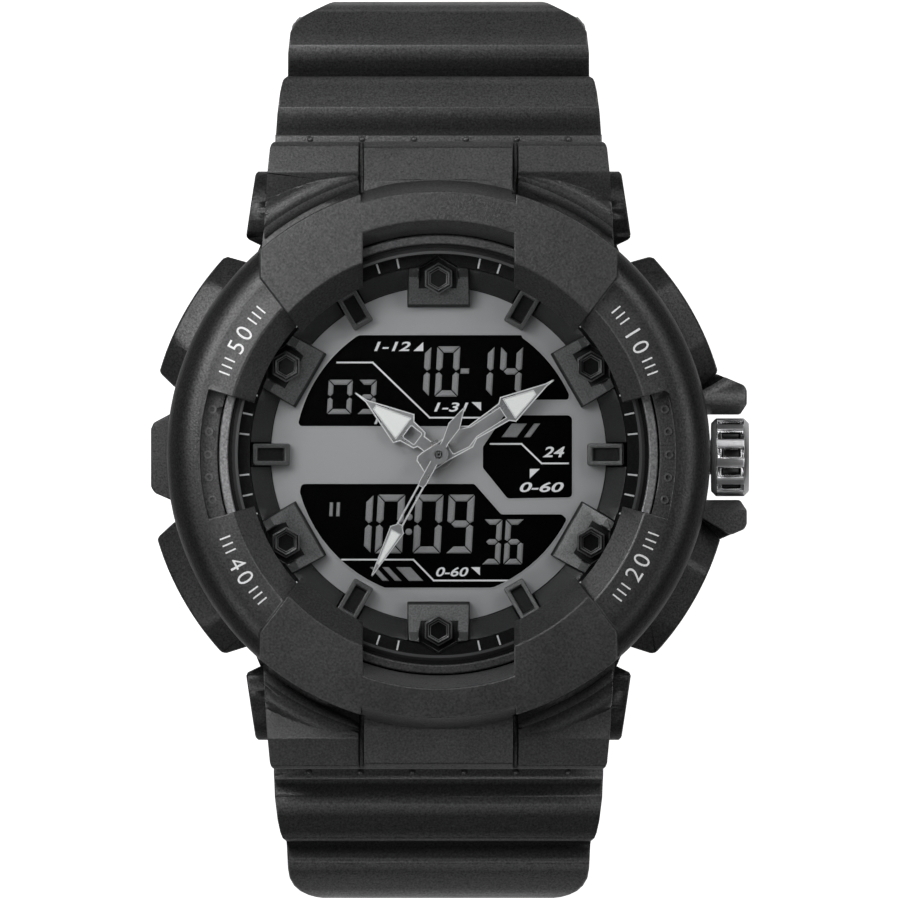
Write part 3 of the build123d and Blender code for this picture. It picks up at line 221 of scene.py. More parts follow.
M = {
    # painted shade: the bezel resin darkens outwards across its rounded outer edge (rolloff), colour and gloss alike
    "resin": surface("resin", grey(0.034), 0.4, grain=5600, vary=0.42, bump=0.6, depth=0.04, spec=1.0,
                     rolloff=((20.3, 21.9, 0.6), (22.4, 23.9, 0.2))),
    # painted light and shade: the bezel copies of the resin below are painted darker (covers, apron, inner bevel) or
    # lighter (apron valleys, notch wall, recess floor, dimples) in place of light and shade
    "resin_cover_shaded": surface("resin_cover_shaded", grey(0.031), 0.42, grain=5600, vary=0.42, bump=0.6, depth=0.04, spec=0.83),
    "resin_apron_shaded": surface("resin_apron_shaded", grey(0.027), 0.42, grain=5600, vary=0.42, bump=0.6, depth=0.04, spec=0.73),
    "resin_inner_shaded": surface("resin_inner_shaded", grey(0.022), 0.42, grain=5600, vary=0.42, bump=0.6, depth=0.04, spec=0.6),
    "resin_case": surface("resin_case", grey(0.015), 0.4, grain=5600, vary=0.5, bump=0.6, depth=0.04, spec=0.56),
    "resin_valley_lit": surface("resin_valley_lit", grey(0.085), 0.45, grain=5600, vary=0.42, bump=0.6, depth=0.04, spec=1.0),
    "resin_wall_lit": surface("resin_wall_lit", grey(0.060), 0.42, grain=5600, vary=0.42, bump=0.6, depth=0.04, spec=1.0),
    # painted light: lighter copies of the case resin for the tops of the crown guards and the bumper
    "resin_guard_lit": surface("resin_guard_lit", grey(0.068), 0.42, grain=5600, vary=0.5, bump=0.6, depth=0.04, spec=1.0),
    "resin_bumper_lit": surface("resin_bumper_lit", grey(0.026), 0.42, grain=5600, vary=0.5, bump=0.6, depth=0.04, spec=0.58),
    "resin_floor_lit": surface("resin_floor_lit", grey(0.050), 0.45, grain=5600, vary=0.5, bump=0.6, depth=0.04, spec=0.8),
    "dimple_highlight": surface("dimple_highlight", grey(0.11), 0.4, grain=5600, vary=0.3, bump=0.3, depth=0.03, spec=0.9),
    "resin_ring": surface("resin_ring", grey(0.018), 0.42, grain=8000, vary=0.2, bump=0.35, depth=0.03),
    # painted light: a lighter copy of the hour ring's resin for the lit tops of its blocks
    "block": surface("block", grey(0.062), 0.42, grain=6500, vary=0.4, bump=0.5, depth=0.03, spec=0.9),
    "marker": surface("marker", grey(0.055), 0.4, grain=6500, vary=0.3, bump=0.4, depth=0.03, spec=0.8),
    # painted highlight: a lighter copy of the stud material for the bevels along its hex edges
    "stud_edge_highlight": surface("stud_edge_highlight", grey(0.085), 0.35, grain=6000, vary=0.2, bump=0.2, depth=0.02, spec=0.9),
    # the dark resin of the chapter ring and module holder, also used as painted shade in the stud cups and marker holes
    "resin_dark_and_shade": surface("resin_dark_and_shade", grey(0.006), 0.5, grain=8000, vary=0.3, bump=0.2, depth=0.02, spec=0.2),
    "stud": surface("stud", grey(0.004), 0.35, grain=6000, vary=0.2, bump=0.2, depth=0.02, spec=0.25),
    "strap": surface("strap", grey(0.036), 0.42, grain=5600, vary=0.5, bump=0.7, depth=0.04, spec=0.9),
    # painted highlight and shade on the 12 side strap: brighter bands on the rib crests, darker in the hollows
    "strap_high": surface("strap_high", grey(0.036), 0.42, grain=5600, vary=0.5, bump=0.7, depth=0.04, spec=0.9, bands=(
        (28.75, 1.4), (29.2, 0.7), (30.0, 0.7), (30.7, 1.0), (33.0, 1.0), (33.5, 1.3), (33.9, 0.9), (34.4, 0.45),
        (35.2, 0.45), (36.9, 1.5), (37.8, 1.1))),
    # painted highlight and shade on the 6 side strap, which is also painted lighter overall than the 12 side
    "strap_low": surface("strap_low", grey(0.052), 0.42, grain=5600, vary=0.5, bump=0.7, depth=0.04, spec=1.0, bands=(
        (-39.2, 1.3), (-37.4, 0.65), (-36.75, 1.5), (-36.1, 0.4), (-35.2, 0.6), (-34.8, 1.0), (-34.3, 0.8),
        (-33.8, 0.4), (-32.4, 0.4), (-31.2, 1.4), (-30.4, 0.8), (-29.6, 0.55), (-29.1, 2.0), (-28.7, 1.0))),
    # painted light: the metal ring is painted brighter by the 3 and 9 recesses, most towards the 6 side, and darker in
    # the 12 and 6 gaps
    "ring_metal": surface("ring_metal", grey(0.27), 0.42, metallic=0.6, grain=5600, vary=0.5, bump=0.8, depth=0.03,
                          bands=((-20.0, 0.33), (-15.0, 0.36), (-9.0, 1.5), (0.0, 1.05), (9.0, 0.85), (15.0, 0.4),
                                 (20.0, 0.36))),
    "seal": surface("seal", grey(0.004), 0.5, grain=6000, vary=0.3, spec=0.2),
    "dial": surface("dial", grey(0.37), 0.5, grain=12000, vary=0.04, bump=0.1, depth=0.01, patch=90),
    "display": surface("display", grey(0.0006), 0.35, grain=9000, vary=0.6, bump=0.05, depth=0.005, spec=0.04),
    "segment": surface("segment", grey(0.26), 0.5, grain=9000, vary=0.12, bump=0.1, depth=0.01, patch=700),
    "print": surface("print", grey(0.80), 0.6, grain=12000, vary=0.04, bump=0.1, depth=0.005),
    "paint": surface("paint", grey(0.85), 0.45, grain=9000, vary=0.18, bump=0.3, depth=0.02),
    # pale metal: the painted highlight round the display windows and the seconds hub ring
    "rim": surface("rim", grey(0.45), 0.35, metallic=0.3, grain=9000, vary=0.08, bump=0.1, depth=0.01),
    "tick": surface("tick", grey(0.90), 0.45, grain=9000, vary=0.12, bump=0.2, depth=0.01),
    "hand": surface("hand", grey(0.55), 0.3, metallic=0.8, grain=9000, vary=0.08, bump=0.15, depth=0.01),
    # painted highlight: near-white for the lit edges of the hands
    "hand_edge_highlight": surface("hand_edge_highlight", grey(0.95), 0.3, metallic=0.2, grain=9000, vary=0.05, bump=0.1, depth=0.01, spec=0.9),
    "lume": surface("lume", (0.93, 0.94, 0.92), 0.55, grain=9000, vary=0.04, bump=0.3, depth=0.02),
    "chrome": surface("chrome", grey(0.85), 0.24, metallic=1.0, grain=3000, vary=0.05, bump=0.05, depth=0.01,
                      rough_vary=0.05),
    "chrome_soft": surface("chrome_soft", grey(0.86), 0.37, metallic=0.9, grain=3000, vary=0.06, bump=0.05, depth=0.01),
    # painted light on the crown: near-black chrome for the flute pockets, darker chrome for the end face, matt grey for
    # the rim facing the case
    "chrome_pit_shade": surface("chrome_pit_shade", grey(0.05), 0.3, metallic=0.9, grain=3000, vary=0.1, bump=0.05, depth=0.01),
    "chrome_end_shade": surface("chrome_end_shade", grey(0.4), 0.34, metallic=1.0, grain=3000, vary=0.08, bump=0.05, depth=0.01),
    "chrome_rim_painted_light": surface("chrome_rim_painted_light", grey(0.6), 0.42, metallic=0.2, grain=3000, vary=0.08, bump=0.05, depth=0.01),
    "steel": surface("steel", grey(0.55), 0.28, metallic=1.0, grain=1800, vary=0.1, bump=0.25, depth=0.02,
                     stretch=(1.0, 0.06, 1.0)),
    "back_steel": surface("back_steel", grey(0.52), 0.3, metallic=1.0, grain=1800, vary=0.1, bump=0.25, depth=0.015,
                          stretch=(1.0, 0.05, 1.0)),
    "brass": surface("brass", (0.72, 0.52, 0.24), 0.3, metallic=1.0, grain=2500, vary=0.08, bump=0.15, depth=0.01),
    "copper": surface("copper", (0.6, 0.26, 0.12), 0.4, metallic=0.8, grain=5000, vary=0.2, bump=0.6, depth=0.05,
                      stretch=(6.0, 0.3, 0.3)),
    "board": surface("board", (0.02, 0.12, 0.06), 0.35, grain=3000, vary=0.2, bump=0.2),
    "milky": surface("milky", (0.7, 0.75, 0.68), 0.5, grain=3000, vary=0.05),
    "floor": None,
}


def floor_material():
    m, nt, bsdf = new_mat("floor")
    tc = nt.nodes.new("ShaderNodeTexCoord")
    f = noise(nt, tc.outputs["Object"], 60.0, 3.0)
    nt.links.new(blend_color(nt, f, (0.90, 0.90, 0.90), (0.94, 0.94, 0.94)), bsdf.inputs["Base Color"])
    bsdf.inputs["Roughness"].default_value = 0.85
    bsdf.inputs["Specular IOR Level"].default_value = 0.1
    bsdf.inputs["Emission Color"].default_value = (1, 1, 1, 1)
    path = nt.nodes.new("ShaderNodeLightPath")
    glow = nt.nodes.new("ShaderNodeMapRange")
    glow.inputs["To Min"].default_value = 0.45
    glow.inputs["To Max"].default_value = 1.0
    nt.links.new(path.outputs["Is Camera Ray"], glow.inputs["Value"])
    nt.links.new(glow.outputs["Result"], bsdf.inputs["Emission Strength"])
    return m


def glass_material():
    """Clear face; the ground edge outside the seat reads as dark frosted glass, with a thin lighter line painted on as
    the highlight of its chamfer.
    """
    m = bpy.data.materials.new("crystal_glass")
    m.use_nodes = True
    nt = m.node_tree
    nt.nodes.clear()
    out = nt.nodes.new("ShaderNodeOutputMaterial")
    mix = nt.nodes.new("ShaderNodeMixShader")
    tr = nt.nodes.new("ShaderNodeBsdfTransparent")
    gl = nt.nodes.new("ShaderNodeBsdfGlossy")
    fr = nt.nodes.new("ShaderNodeLayerWeight")
    fr.inputs["Blend"].default_value = 0.5
    steep = nt.nodes.new("ShaderNodeMath")
    steep.operation = "POWER"
    steep.inputs[1].default_value = 4.0
    nt.links.new(fr.outputs["Facing"], steep.inputs[0])
    share = nt.nodes.new("ShaderNodeMapRange")
    share.inputs["To Min"].default_value = 0.008
    share.inputs["To Max"].default_value = 0.6
    nt.links.new(steep.outputs[0], share.inputs["Value"])
    tc = nt.nodes.new("ShaderNodeTexCoord")
    n = noise(nt, tc.outputs["Object"], 40.0, 2.0)
    nt.links.new(remap(nt, n, 0.01, 0.05), gl.inputs["Roughness"])
    tr.inputs["Color"].default_value = (0.985, 0.99, 0.99, 1)
    gl.inputs["Color"].default_value = (0.9, 0.93, 0.95, 1)
    nt.links.new(share.outputs["Result"], mix.inputs[0])
    nt.links.new(tr.outputs[0], mix.inputs[1])
    nt.links.new(gl.outputs[0], mix.inputs[2])
    radius = radius_of(nt, tc.outputs["Object"])

    def step(a, b):
        r = nt.nodes.new("ShaderNodeMapRange")
        r.inputs["From Min"].default_value = a * MM
        r.inputs["From Max"].default_value = b * MM
        nt.links.new(radius, r.inputs["Value"])
        return r.outputs["Result"]

    edge = nt.nodes.new("ShaderNodeBsdfPrincipled")
    grain = noise(nt, tc.outputs["Object"], 6000.0, 2.0)
    tone = nt.nodes.new("ShaderNodeMix")
    tone.data_type = "RGBA"
    # painted highlight: the thin lighter line at the inner edge of the ground rim
    nt.links.new(step(18.19, 18.23), tone.inputs[0])
    tone.inputs[6].default_value = (0.060, 0.061, 0.063, 1)
    nt.links.new(blend_color(nt, grain, (0.030, 0.030, 0.031), (0.042, 0.042, 0.043)), tone.inputs[7])
    nt.links.new(tone.outputs[2], edge.inputs["Base Color"])
    edge.inputs["Roughness"].default_value = 0.35
    last = nt.nodes.new("ShaderNodeMixShader")
    nt.links.new(step(17.93, 17.96), last.inputs[0])
    nt.links.new(mix.outputs[0], last.inputs[1])
    nt.links.new(edge.outputs[0], last.inputs[2])
    nt.links.new(last.outputs[0], out.inputs[0])
    return m


M["floor"] = floor_material()
M["glass"] = glass_material()


# ------------------------------------------------------------------ mesh helpers
def link_obj(name, me, material, body):
    o = bpy.data.objects.new(name, me)
    scene.collection.objects.link(o)
    me.materials.clear()
    me.materials.append(material)
    if body:
        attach(o, body)
    return o


def finish_mesh(me, angle=38.0, weighted=None):
    for p in me.polygons:
        p.use_smooth = True
    me.set_sharp_from_angle(angle=math.radians(angle))


def body_of_node(node):
    return nodes[node]["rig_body"]


def face_out(bm):
    """Turns the faces of every shell so that they point out of it."""
    bmesh.ops.recalc_face_normals(bm, faces=bm.faces)
    seen = set()
    for start in bm.faces:
        if start in seen:
            continue
        seen.add(start)
        shell, stack = [], [start]
        while stack:
            f = stack.pop()
            shell.append(f)
            for e in f.edges:
                for g in e.link_faces:
                    if g not in seen:
                        seen.add(g)
                        stack.append(g)
        if sum(f.normal.dot(f.calc_center_median()) * f.calc_area() for f in shell) < 0:
            bmesh.ops.reverse_faces(bm, faces=shell)


def stray_points(bm, tree, far):
    """Corners of the triangles that leave the CAD surface by more than far."""
    out = []
    for tri in bm.calc_loop_triangles():
        a, b, c = (loop.vert.co for loop in tri)
        m = (a + b + c) / 3
        for q in (m, (a + b) / 2, (b + c) / 2, (c + a) / 2, (a + m) / 2, (b + m) / 2, (c + m) / 2):
            if tree.find_nearest(q, far)[0] is None:
                out += [a.copy(), b.copy(), c.copy()]
                break
    return out


def close_to(points, e, d):
    """Whether one of the points lies within d of the edge."""
    p = e.verts[0].co
    v = e.verts[1].co - p
    n = max(v.length_squared, 1e-16)
    return any((p + v * max(0.0, min(1.0, (z - p).dot(v) / n)) - z).length < d for z in points)


def remodel(node, material, bevel=0.0, segments=2, angle=28.0, skip=None, weld=3e-6, name=None):
    """The CAD piece rebuilt as one clean mesh with rounded edges."""
    base = bmesh.new()
    base.from_mesh(nodes[node].data)
    bmesh.ops.remove_doubles(base, verts=base.verts, dist=weld)
    tree = BVHTree.FromBMesh(base)
    bmesh.ops.dissolve_limit(base, angle_limit=math.radians(0.4), verts=base.verts, edges=base.edges)
    base.normal_update()
    bm = base
    trouble = []
    for _ in range(6 if bevel else 0):
        # where rounding would fold a face over its neighbours, it is done again without the edges there
        bm = base.copy()
        edges = []
        for e in bm.edges:
            if len(e.link_faces) != 2:
                continue
            if e.calc_face_angle(0.0) < math.radians(angle):
                continue
            if skip is not None:
                c = (e.verts[0].co + e.verts[1].co) / 2 / MM
                if skip(c, e.calc_length() / MM):
                    continue
            if trouble and close_to(trouble, e, 1.5 * bevel * MM):
                continue
            edges.append(e)
        bmesh.ops.bevel(bm, geom=edges, offset=bevel * MM, offset_type="OFFSET", segments=segments, profile=0.5,
                        affect="EDGES", clamp_overlap=False, loop_slide=True, miter_outer="SHARP")
        # a corner where short edges meet must not stick out of the piece
        for v in bm.verts:
            hit = tree.find_nearest(v.co)
            if hit[0] is not None and hit[3] > 0.55 * bevel * MM:
                v.co = hit[0]
        found = stray_points(bm, tree, (0.45 * bevel + 0.02) * MM)
        if not found:
            break
        trouble += found
    face_out(bm)
    me = bpy.data.meshes.new((name or node) + "_shape")
    bm.to_mesh(me)
    finish_mesh(me)
    o = link_obj(name or (node + "_piece"), me, material, body_of_node(node))
    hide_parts(node)
    wn = o.modifiers.new("weighted", "WEIGHTED_NORMAL")
    wn.keep_sharp = True
    return o


def paint_faces(o, material, test):
    """A second material on the faces for which test(centre in mm, normal) holds."""
    me = o.data
    me.materials.append(material)
    k = len(me.materials) - 1
    for p in me.polygons:
        if test(p.center / MM, p.normal):
            p.material_index = k


def use_cad(node, material):
    o = nodes[node]
    o.data.materials.clear()
    o.data.materials.append(material)
    return o


class Builder:
    """Collects prisms and bevelled plates, in millimetres, in one mesh."""

    def __init__(self):
        self.bm = bmesh.new()

    def loop(self, pts, z):
        return [self.bm.verts.new((x * MM, y * MM, z * MM)) for x, y in pts]

    def prism(self, pts, z0, z1, matrix=None):
        self.roof(pts, z0, z1, 0.0, matrix)

    def roof(self, pts, z0, z1, inset, matrix=None):
        """A plate whose top face is smaller than its base by inset on every side."""
        if area(pts) < 0:
            pts = list(reversed(pts))
        top = inset_loop(pts, inset) if inset else pts
        a, b = self.loop(pts, z0), self.loop(top, z1)
        if matrix is not None:
            for v in a + b:
                v.co = matrix @ v.co
        n = len(pts)
        self.bm.faces.new(list(reversed(a)))
        self.bm.faces.new(b)
        for i in range(n):
            self.bm.faces.new([a[i], a[(i + 1) % n], b[(i + 1) % n], b[i]])

    def line(self, pts, width, z0, z1, inset=0.0):
        for i, (p, q) in enumerate(zip(pts, pts[1:])):
            z1 += 0.002 if i % 2 else -0.002  # the tops of neighbours don't lie in one plane
            dx, dy = q[0] - p[0], q[1] - p[1]
            n = math.hypot(dx, dy)
            ux, uy = dx / n * width / 2, dy / n * width / 2
            self.roof([(p[0] - ux + uy, p[1] - uy - ux), (q[0] + ux + uy, q[1] + uy - ux),
                       (q[0] + ux - uy, q[1] + uy + ux), (p[0] - ux - uy, p[1] - uy + ux)], z0, z1, inset)

    def band(self, outer, inner, z0, z1):
        """A closed strip between two loops with the same number of points."""
        loops = [self.loop(outer, z0), self.loop(outer, z1), self.loop(inner, z1), self.loop(inner, z0)]
        n = len(outer)
        for k in range(4):
            a, b = loops[k], loops[(k + 1) % 4]
            for i in range(n):
                self.bm.faces.new([a[i], a[(i + 1) % n], b[(i + 1) % n], b[i]])

    def mesh(self, other, matrix):
        tmp = bmesh.new()
        tmp.from_mesh(other)
        tmp.transform(matrix)
        keep = bpy.data.meshes.new("tmp")
        tmp.to_mesh(keep)
        tmp.free()
        self.bm.from_mesh(keep)
        bpy.data.meshes.remove(keep)

    def done(self, name, material, body, angle=30.0):
        bmesh.ops.recalc_face_normals(self.bm, faces=self.bm.faces)
        me = bpy.data.meshes.new(name)
        self.bm.to_mesh(me)
        self.bm.free()
        finish_mesh(me, angle)
        return link_obj(name, me, material, body)


def area(pts):
    return sum(p[0] * q[1] - q[0] * p[1] for p, q in zip(pts, pts[1:] + pts[:1])) / 2


def inset_loop(pts, d):
    """A counter-clockwise loop moved inwards by d."""
    out = []
    n = len(pts)
    for i in range(n):
        a, b, c = Vector(pts[i - 1]), Vector(pts[i]), Vector(pts[(i + 1) % n])
        u, v = (b - a).normalized(), (c - b).normalized()
        nu, nv = Vector((-u.y, u.x)), Vector((-v.y, v.x))
        m = nu + nv
        m /= max(0.3, m.length_squared / 2)
        out.append((b.x + m.x * d, b.y + m.y * d))
    return out


def P(x, y):
    """A picture pixel as millimetres in the row frame."""
    return ((x - 438.5) / K, (454.5 - y) / K)


def PS(pts):
    return [P(x, y) for x, y in pts]


def arc(r, a0, a1, n):
    """Points on a circle, by angle clockwise from 12."""
    return [(r * math.sin(math.radians(a0 + (a1 - a0) * i / n)), r * math.cos(math.radians(a0 + (a1 - a0) * i / n)))
            for i in range(n + 1)]


def text_mesh(body, shear=0.0, offset=0.0, depth=0.02, spacing=1.0):
    cu = bpy.data.curves.new("txt", "FONT")
    cu.body = body
    cu.size = 1.0
    cu.shear = shear
    cu.offset = offset
    cu.space_character = spacing
    cu.extrude = depth
    cu.resolution_u = 6
    ob = bpy.data.objects.new("txt", cu)
    scene.collection.objects.link(ob)
    bpy.context.view_layer.update()
    dg = bpy.context.evaluated_depsgraph_get()
    me = bpy.data.meshes.new_from_object(ob.evaluated_get(dg))
    bpy.data.objects.remove(ob)
    bpy.data.curves.remove(cu)
    return me


def extent(me):
    xs = [v.co.x for v in me.vertices]
    ys = [v.co.y for v in me.vertices]
    zs = [v.co.z for v in me.vertices]
    return min(xs), max(xs), min(ys), max(ys), min(zs), max(zs)


def put_text(builder, body, x0, y0, x1, y1, z0, z1, **kw):
    """Text scaled to fill a box in millimetres."""
    me = text_mesh(body, **kw)
    a, b, c, d, e, f = extent(me)
    s = Matrix.Diagonal(((x1 - x0) / (b - a) * MM, (y1 - y0) / (d - c) * MM, (z1 - z0) / (f - e) * MM, 1.0))
    t = Matrix.Translation((x0 * MM, y0 * MM, z0 * MM)) @ s @ Matrix.Translation((-a, -c, -e))
    builder.mesh(me, t)
    bpy.data.meshes.remove(me)


# ------------------------------------------------------------------ bezel and case
def skip_bezel(c, length):
    r = math.hypot(c.x, c.y)
    return (length < 0.16 or c.z < 9.8 or r < 17.3 or (20.1 < r < 21.1 and abs(c.y) < 6.0 and c.z < 14.2)
            or (7 < abs(c.x) < 15.4 and 16 < abs(c.y) < 25.1 and 12 < c.z < 13.4))


bezel = remodel("bezel", M["resin"], bevel=0.13, segments=3, skip=skip_bezel)
# painted light and shade on the bezel: darker covers, apron and inner bevel; lighter valley slopes, notch wall on the 6
# side, recess floor and dimples (a painted highlight)
paint_faces(bezel, M["resin_cover_shaded"], lambda c, n: c.z > 16.0 and n.z > 0.5)
paint_faces(bezel, M["resin_apron_shaded"], lambda c, n: c.xy.length > 24.32)
paint_faces(bezel, M["resin_cover_shaded"], lambda c, n: c.z > 14.3 and n.z > 0.3 and c.xy.length > 23.3 and abs(c.x) < 6.9)
paint_faces(bezel, M["resin_valley_lit"], lambda c, n: abs(c.x) > 7.0 and 24.25 < c.xy.length < 25.5
            and c.xy.dot(n.xy) < -0.04 * c.xy.length)
paint_faces(bezel, M["resin_wall_lit"], lambda c, n: c.y < 0 and abs(c.x) < 6.9 and 19.7 < c.xy.length < 21.0
            and 13.9 < c.z < 16.6 and 0.1 < n.z < 0.6)
paint_faces(bezel, M["resin_floor_lit"], lambda c, n: 19.3 < c.xy.length < 21.2 and abs(c.y) < 6.5 and c.z < 14.0
            and n.z > 0.9)
paint_faces(bezel, M["dimple_highlight"], lambda c, n: 19.9 < c.xy.length < 21.1 and abs(c.y) < 5.0 and c.z > 13.965
            and (n.z > 0.9 or abs(n.z) < 0.3) and c.z < 14.1)
paint_faces(bezel, M["resin_inner_shaded"], lambda c, n: c.xy.length < 19.0 and c.z > 14.4 and n.z < 0.97)
case = remodel("case_middle", M["resin_case"], bevel=0.16, segments=3,
               skip=lambda c, length: math.hypot(c.x, c.y) < 21.5 or length < 0.12 or c.z < 1.6
               or (c.x > 22 and c.z > 7 and 3.3 < abs(c.y + 0.25) < 4.8))
# painted light: the guard and bumper tops are painted lighter than the rest of the case
paint_faces(case, M["resin_guard_lit"], lambda c, n: c.x > 22.3 and abs(c.y) < 8.5 and c.z > 5.0 and n.z > 0.2)
paint_faces(case, M["resin_bumper_lit"], lambda c, n: c.x < -22.3 and abs(c.y) < 8.5 and c.z > 5.0 and n.z > 0.2)
for k in "abcd":
    remodel("pusher_" + k, M["resin_case"], bevel=0.2, segments=3,
            skip=lambda c, length: math.hypot(c.x, c.y) < 22.9 or length < 0.2)
    use_cad("pusher_clip_" + k, M["steel"])

# ------------------------------------------------------------------ display side
remodel("inner_bezel_ring", M["ring_metal"], bevel=0.05, segments=2)
use_cad("crystal", M["glass"])
use_cad("crystal_gasket", M["seal"])
use_cad("chapter_ring", M["resin_dark_and_shade"])
hour_ring = remodel("hour_ring", M["resin_ring"], bevel=0.09, segments=2, skip=lambda c, length: c.z < 9.0)


def on_block(c, n):
    """The top of an hour block, inside its outer slope."""
    for a in (0, 60, 120, 180, 240, 300):
        t = math.radians(a)
        v, u = c.x * math.sin(t) + c.y * math.cos(t), c.x * math.cos(t) - c.y * math.sin(t)
        if v > 12.9 and abs(u) < 2.85:
            return 0.88 < n.z < 0.97 and c.z > 9.9
    return False


# painted light: the tops of the hour blocks are painted lighter than the rest of the ring
paint_faces(hour_ring, M["block"], on_block)


def in_cup(c, n):
    """The walls and the floor round a hex stud."""
    for a in (0, 60, 120, 180, 240, 300):
        t = math.radians(a)
        v, u = c.x * math.sin(t) + c.y * math.cos(t), c.x * math.cos(t) - c.y * math.sin(t)
        if math.hypot(u, v - 15.74) < 2.35:
            return n.z < 0.5 or (n.z > 0.985 and 10.4 < c.z < 10.8)
    return False


# painted shade: the walls and floor of the cup round each hex stud are painted near black
paint_faces(hour_ring, M["resin_dark_and_shade"], in_cup)
studs = remodel("hex_studs", M["stud"], bevel=0.06, segments=2, skip=lambda c, length: c.z < 10.7)
# painted highlight: the stud's bevel faces are painted lighter
paint_faces(studs, M["stud_edge_highlight"], lambda c, n: c.z > 10.9 and 0.15 < n.z < 0.97)
frames = remodel("frame_markers", M["marker"], bevel=0.1, segments=2, skip=lambda c, length: c.z < 9.3)


def in_frame(c, n):
    """The hole of a rectangular marker."""
    for a in (30, 90, 150, 210, 270, 330):
        t = math.radians(a)
        v, u = c.x * math.sin(t) + c.y * math.cos(t), c.x * math.cos(t) - c.y * math.sin(t)
        if 13.65 < v < 16.28 and abs(u) < 0.585:
            return c.z < 10.0 + 0.24 * (v - 13.3) and v > 13.7
    return False


# painted shade: the floor and low walls of each marker's hole are painted near black
paint_faces(frames, M["resin_dark_and_shade"], in_frame)
use_cad("dial", M["dial"])
use_cad("lcd_panel", M["display"])

Z_LCD = 8.65
Z_DIAL = 9.1
R_WINDOW = 12.86


def window_arc(p, q, n=18):
    a0, a1 = math.atan2(p[1], p[0]), math.atan2(q[1], q[0])
    while a1 - a0 > math.pi:
        a1 -= 2 * math.pi
    while a0 - a1 > math.pi:
        a1 += 2 * math.pi
    return [(R_WINDOW * math.cos(a0 + (a1 - a0) * i / n), R_WINDOW * math.sin(a0 + (a1 - a0) * i / n))
            for i in range(n + 1)]


WINDOWS = {
    "window_rim_top": [(-7.04, 10.68), (7.43, 10.68)] + window_arc((7.5, 10.45), (11.69, 5.35))
    + [(11.6, 4.9), (5.7, 4.9), (3.0, 2.52), (-12.35, 2.54)] + window_arc((-12.55, 2.8), (-7.3, 10.59)),
    "window_rim_low": [(-12.28, -2.63), (3.21, -2.63), (5.61, -5.36), (11.0, -5.36)]
    + window_arc((11.5, -5.76), (5.0, -11.85)) + [(4.6, -11.92), (-4.8, -11.92)]
    + window_arc((-5.2, -11.76), (-12.4, -3.4)),
    "window_rim_right": [(5.94, 3.51), (11.65, 3.51), (11.95, 3.26), (11.95, -3.84), (6.18, -3.94), (3.97, -1.2),
                         (3.97, 0.67), (5.76, 3.35)],
}


def soft(pts, r):
    """The outline with its sharp corners rounded."""
    out = []
    n = len(pts)
    for i, (x, y) in enumerate(pts):
        (ax, ay), (bx, by) = pts[i - 1], pts[(i + 1) % n]
        la, lb = math.hypot(ax - x, ay - y), math.hypot(bx - x, by - y)
        ux, uy, vx, vy = (ax - x) / la, (ay - y) / la, (bx - x) / lb, (by - y) / lb
        half = math.acos(max(-1.0, min(1.0, ux * vx + uy * vy))) / 2
        if half > math.radians(80):
            out.append((x, y))
            continue
        t = min(r / math.tan(half), 0.45 * la, 0.45 * lb)
        for k in range(5):
            f = k / 4
            g, j = (1 - f) ** 2, f * f
            out.append((x + t * (g * ux + j * vx), y + t * (g * uy + j * vy)))
    return out


# painted highlight: pale frames round the display windows stand for light caught by the edges of the cut-outs
rims = Builder()
for pts in WINDOWS.values():
    pts = soft(pts, 0.4)
    loop = pts if area(pts) > 0 else list(reversed(pts))
    rims.band(inset_loop(loop, -0.1), loop, Z_DIAL - 0.02, Z_DIAL + 0.03)
rims.done("window_rims", M["rim"], "case", angle=50)

# printed lines, triangles and number ranges on the display
prints = Builder()
Z0, Z1 = Z_LCD - 0.005, Z_LCD + 0.03
W = 1.7 / K
prints.line(PS([(337, 362.3), (372.5, 362.3), (429.7, 417.6), (481, 417.6)]), W, Z0, Z1)
prints.line(PS([(490.7, 443.9), (521.7, 443.9), (541.9, 463.4), (568.4, 463.4)]), W, Z0, Z1)
prints.line(PS([(341.8, 559.9), (413.3, 559.9), (433.7, 580.8), (510, 580.8)]), W, Z0, Z1)
for tri in (
    [(413.4, 350.8), (423.2, 350.8), (423.2, 341.7)],
    [(471.5, 402), (481.2, 402), (481.2, 410.7)],
    [(530, 468.9), (540, 468.9), (530, 478.4)],
    [(471, 567.5), (480, 567.5), (480, 575.7)],
):
    prints.prism(PS(tri), Z0, Z1)
for body, x0, y0, x1, y1 in (
    ("1-12", 374, 341.4, 410.5, 350.8),
    ("1-31", 434, 402.4, 468.5, 411.6),
    ("1-7", 374, 415.2, 399, 424.2),
    ("24", 543, 446.6, 565, 457.2),
    ("0-60", 520, 482.2, 564, 492.2),
    ("0-60", 436, 567.4, 468.5, 576.8),
):
    (ax, ay), (bx, by) = P(x0, y1), P(x1, y0)
    put_text(prints, body, ax, ay, bx, by, Z0, Z1, shear=0.25, offset=0.018)
prints.done("display_prints", M["print"], "case")

bars = Builder()
for q in (
    [(511.8, 423.4), (527.3, 423.4), (517, 437.2), (501.5, 437.2)],
    [(534.2, 423.4), (540.6, 423.4), (530.3, 437.2), (524, 437.2)],
    [(395.7, 567.4), (410.4, 567.4), (423.4, 581.3), (408.7, 581.3)],
    [(381.9, 567.4), (388.6, 567.4), (401.6, 581.3), (394.8, 581.3)],
    [(369.5, 567.4), (376, 567.4), (389, 581.3), (382.6, 581.3)],
):
    bars.roof(PS(q), Z0, Z_LCD + 0.06, 0.06)

# segments of the display's digits
SEGMENTS = {
    "0": "ABCDEF", "1": "BC", "2": "ABGED", "3": "ABGCD", "4": "FGBC", "5": "AFGCD", "6": "AFGECD", "7": "ABC",
    "8": "ABCDEFG", "9": "AFBGCD", "-": "G",
}


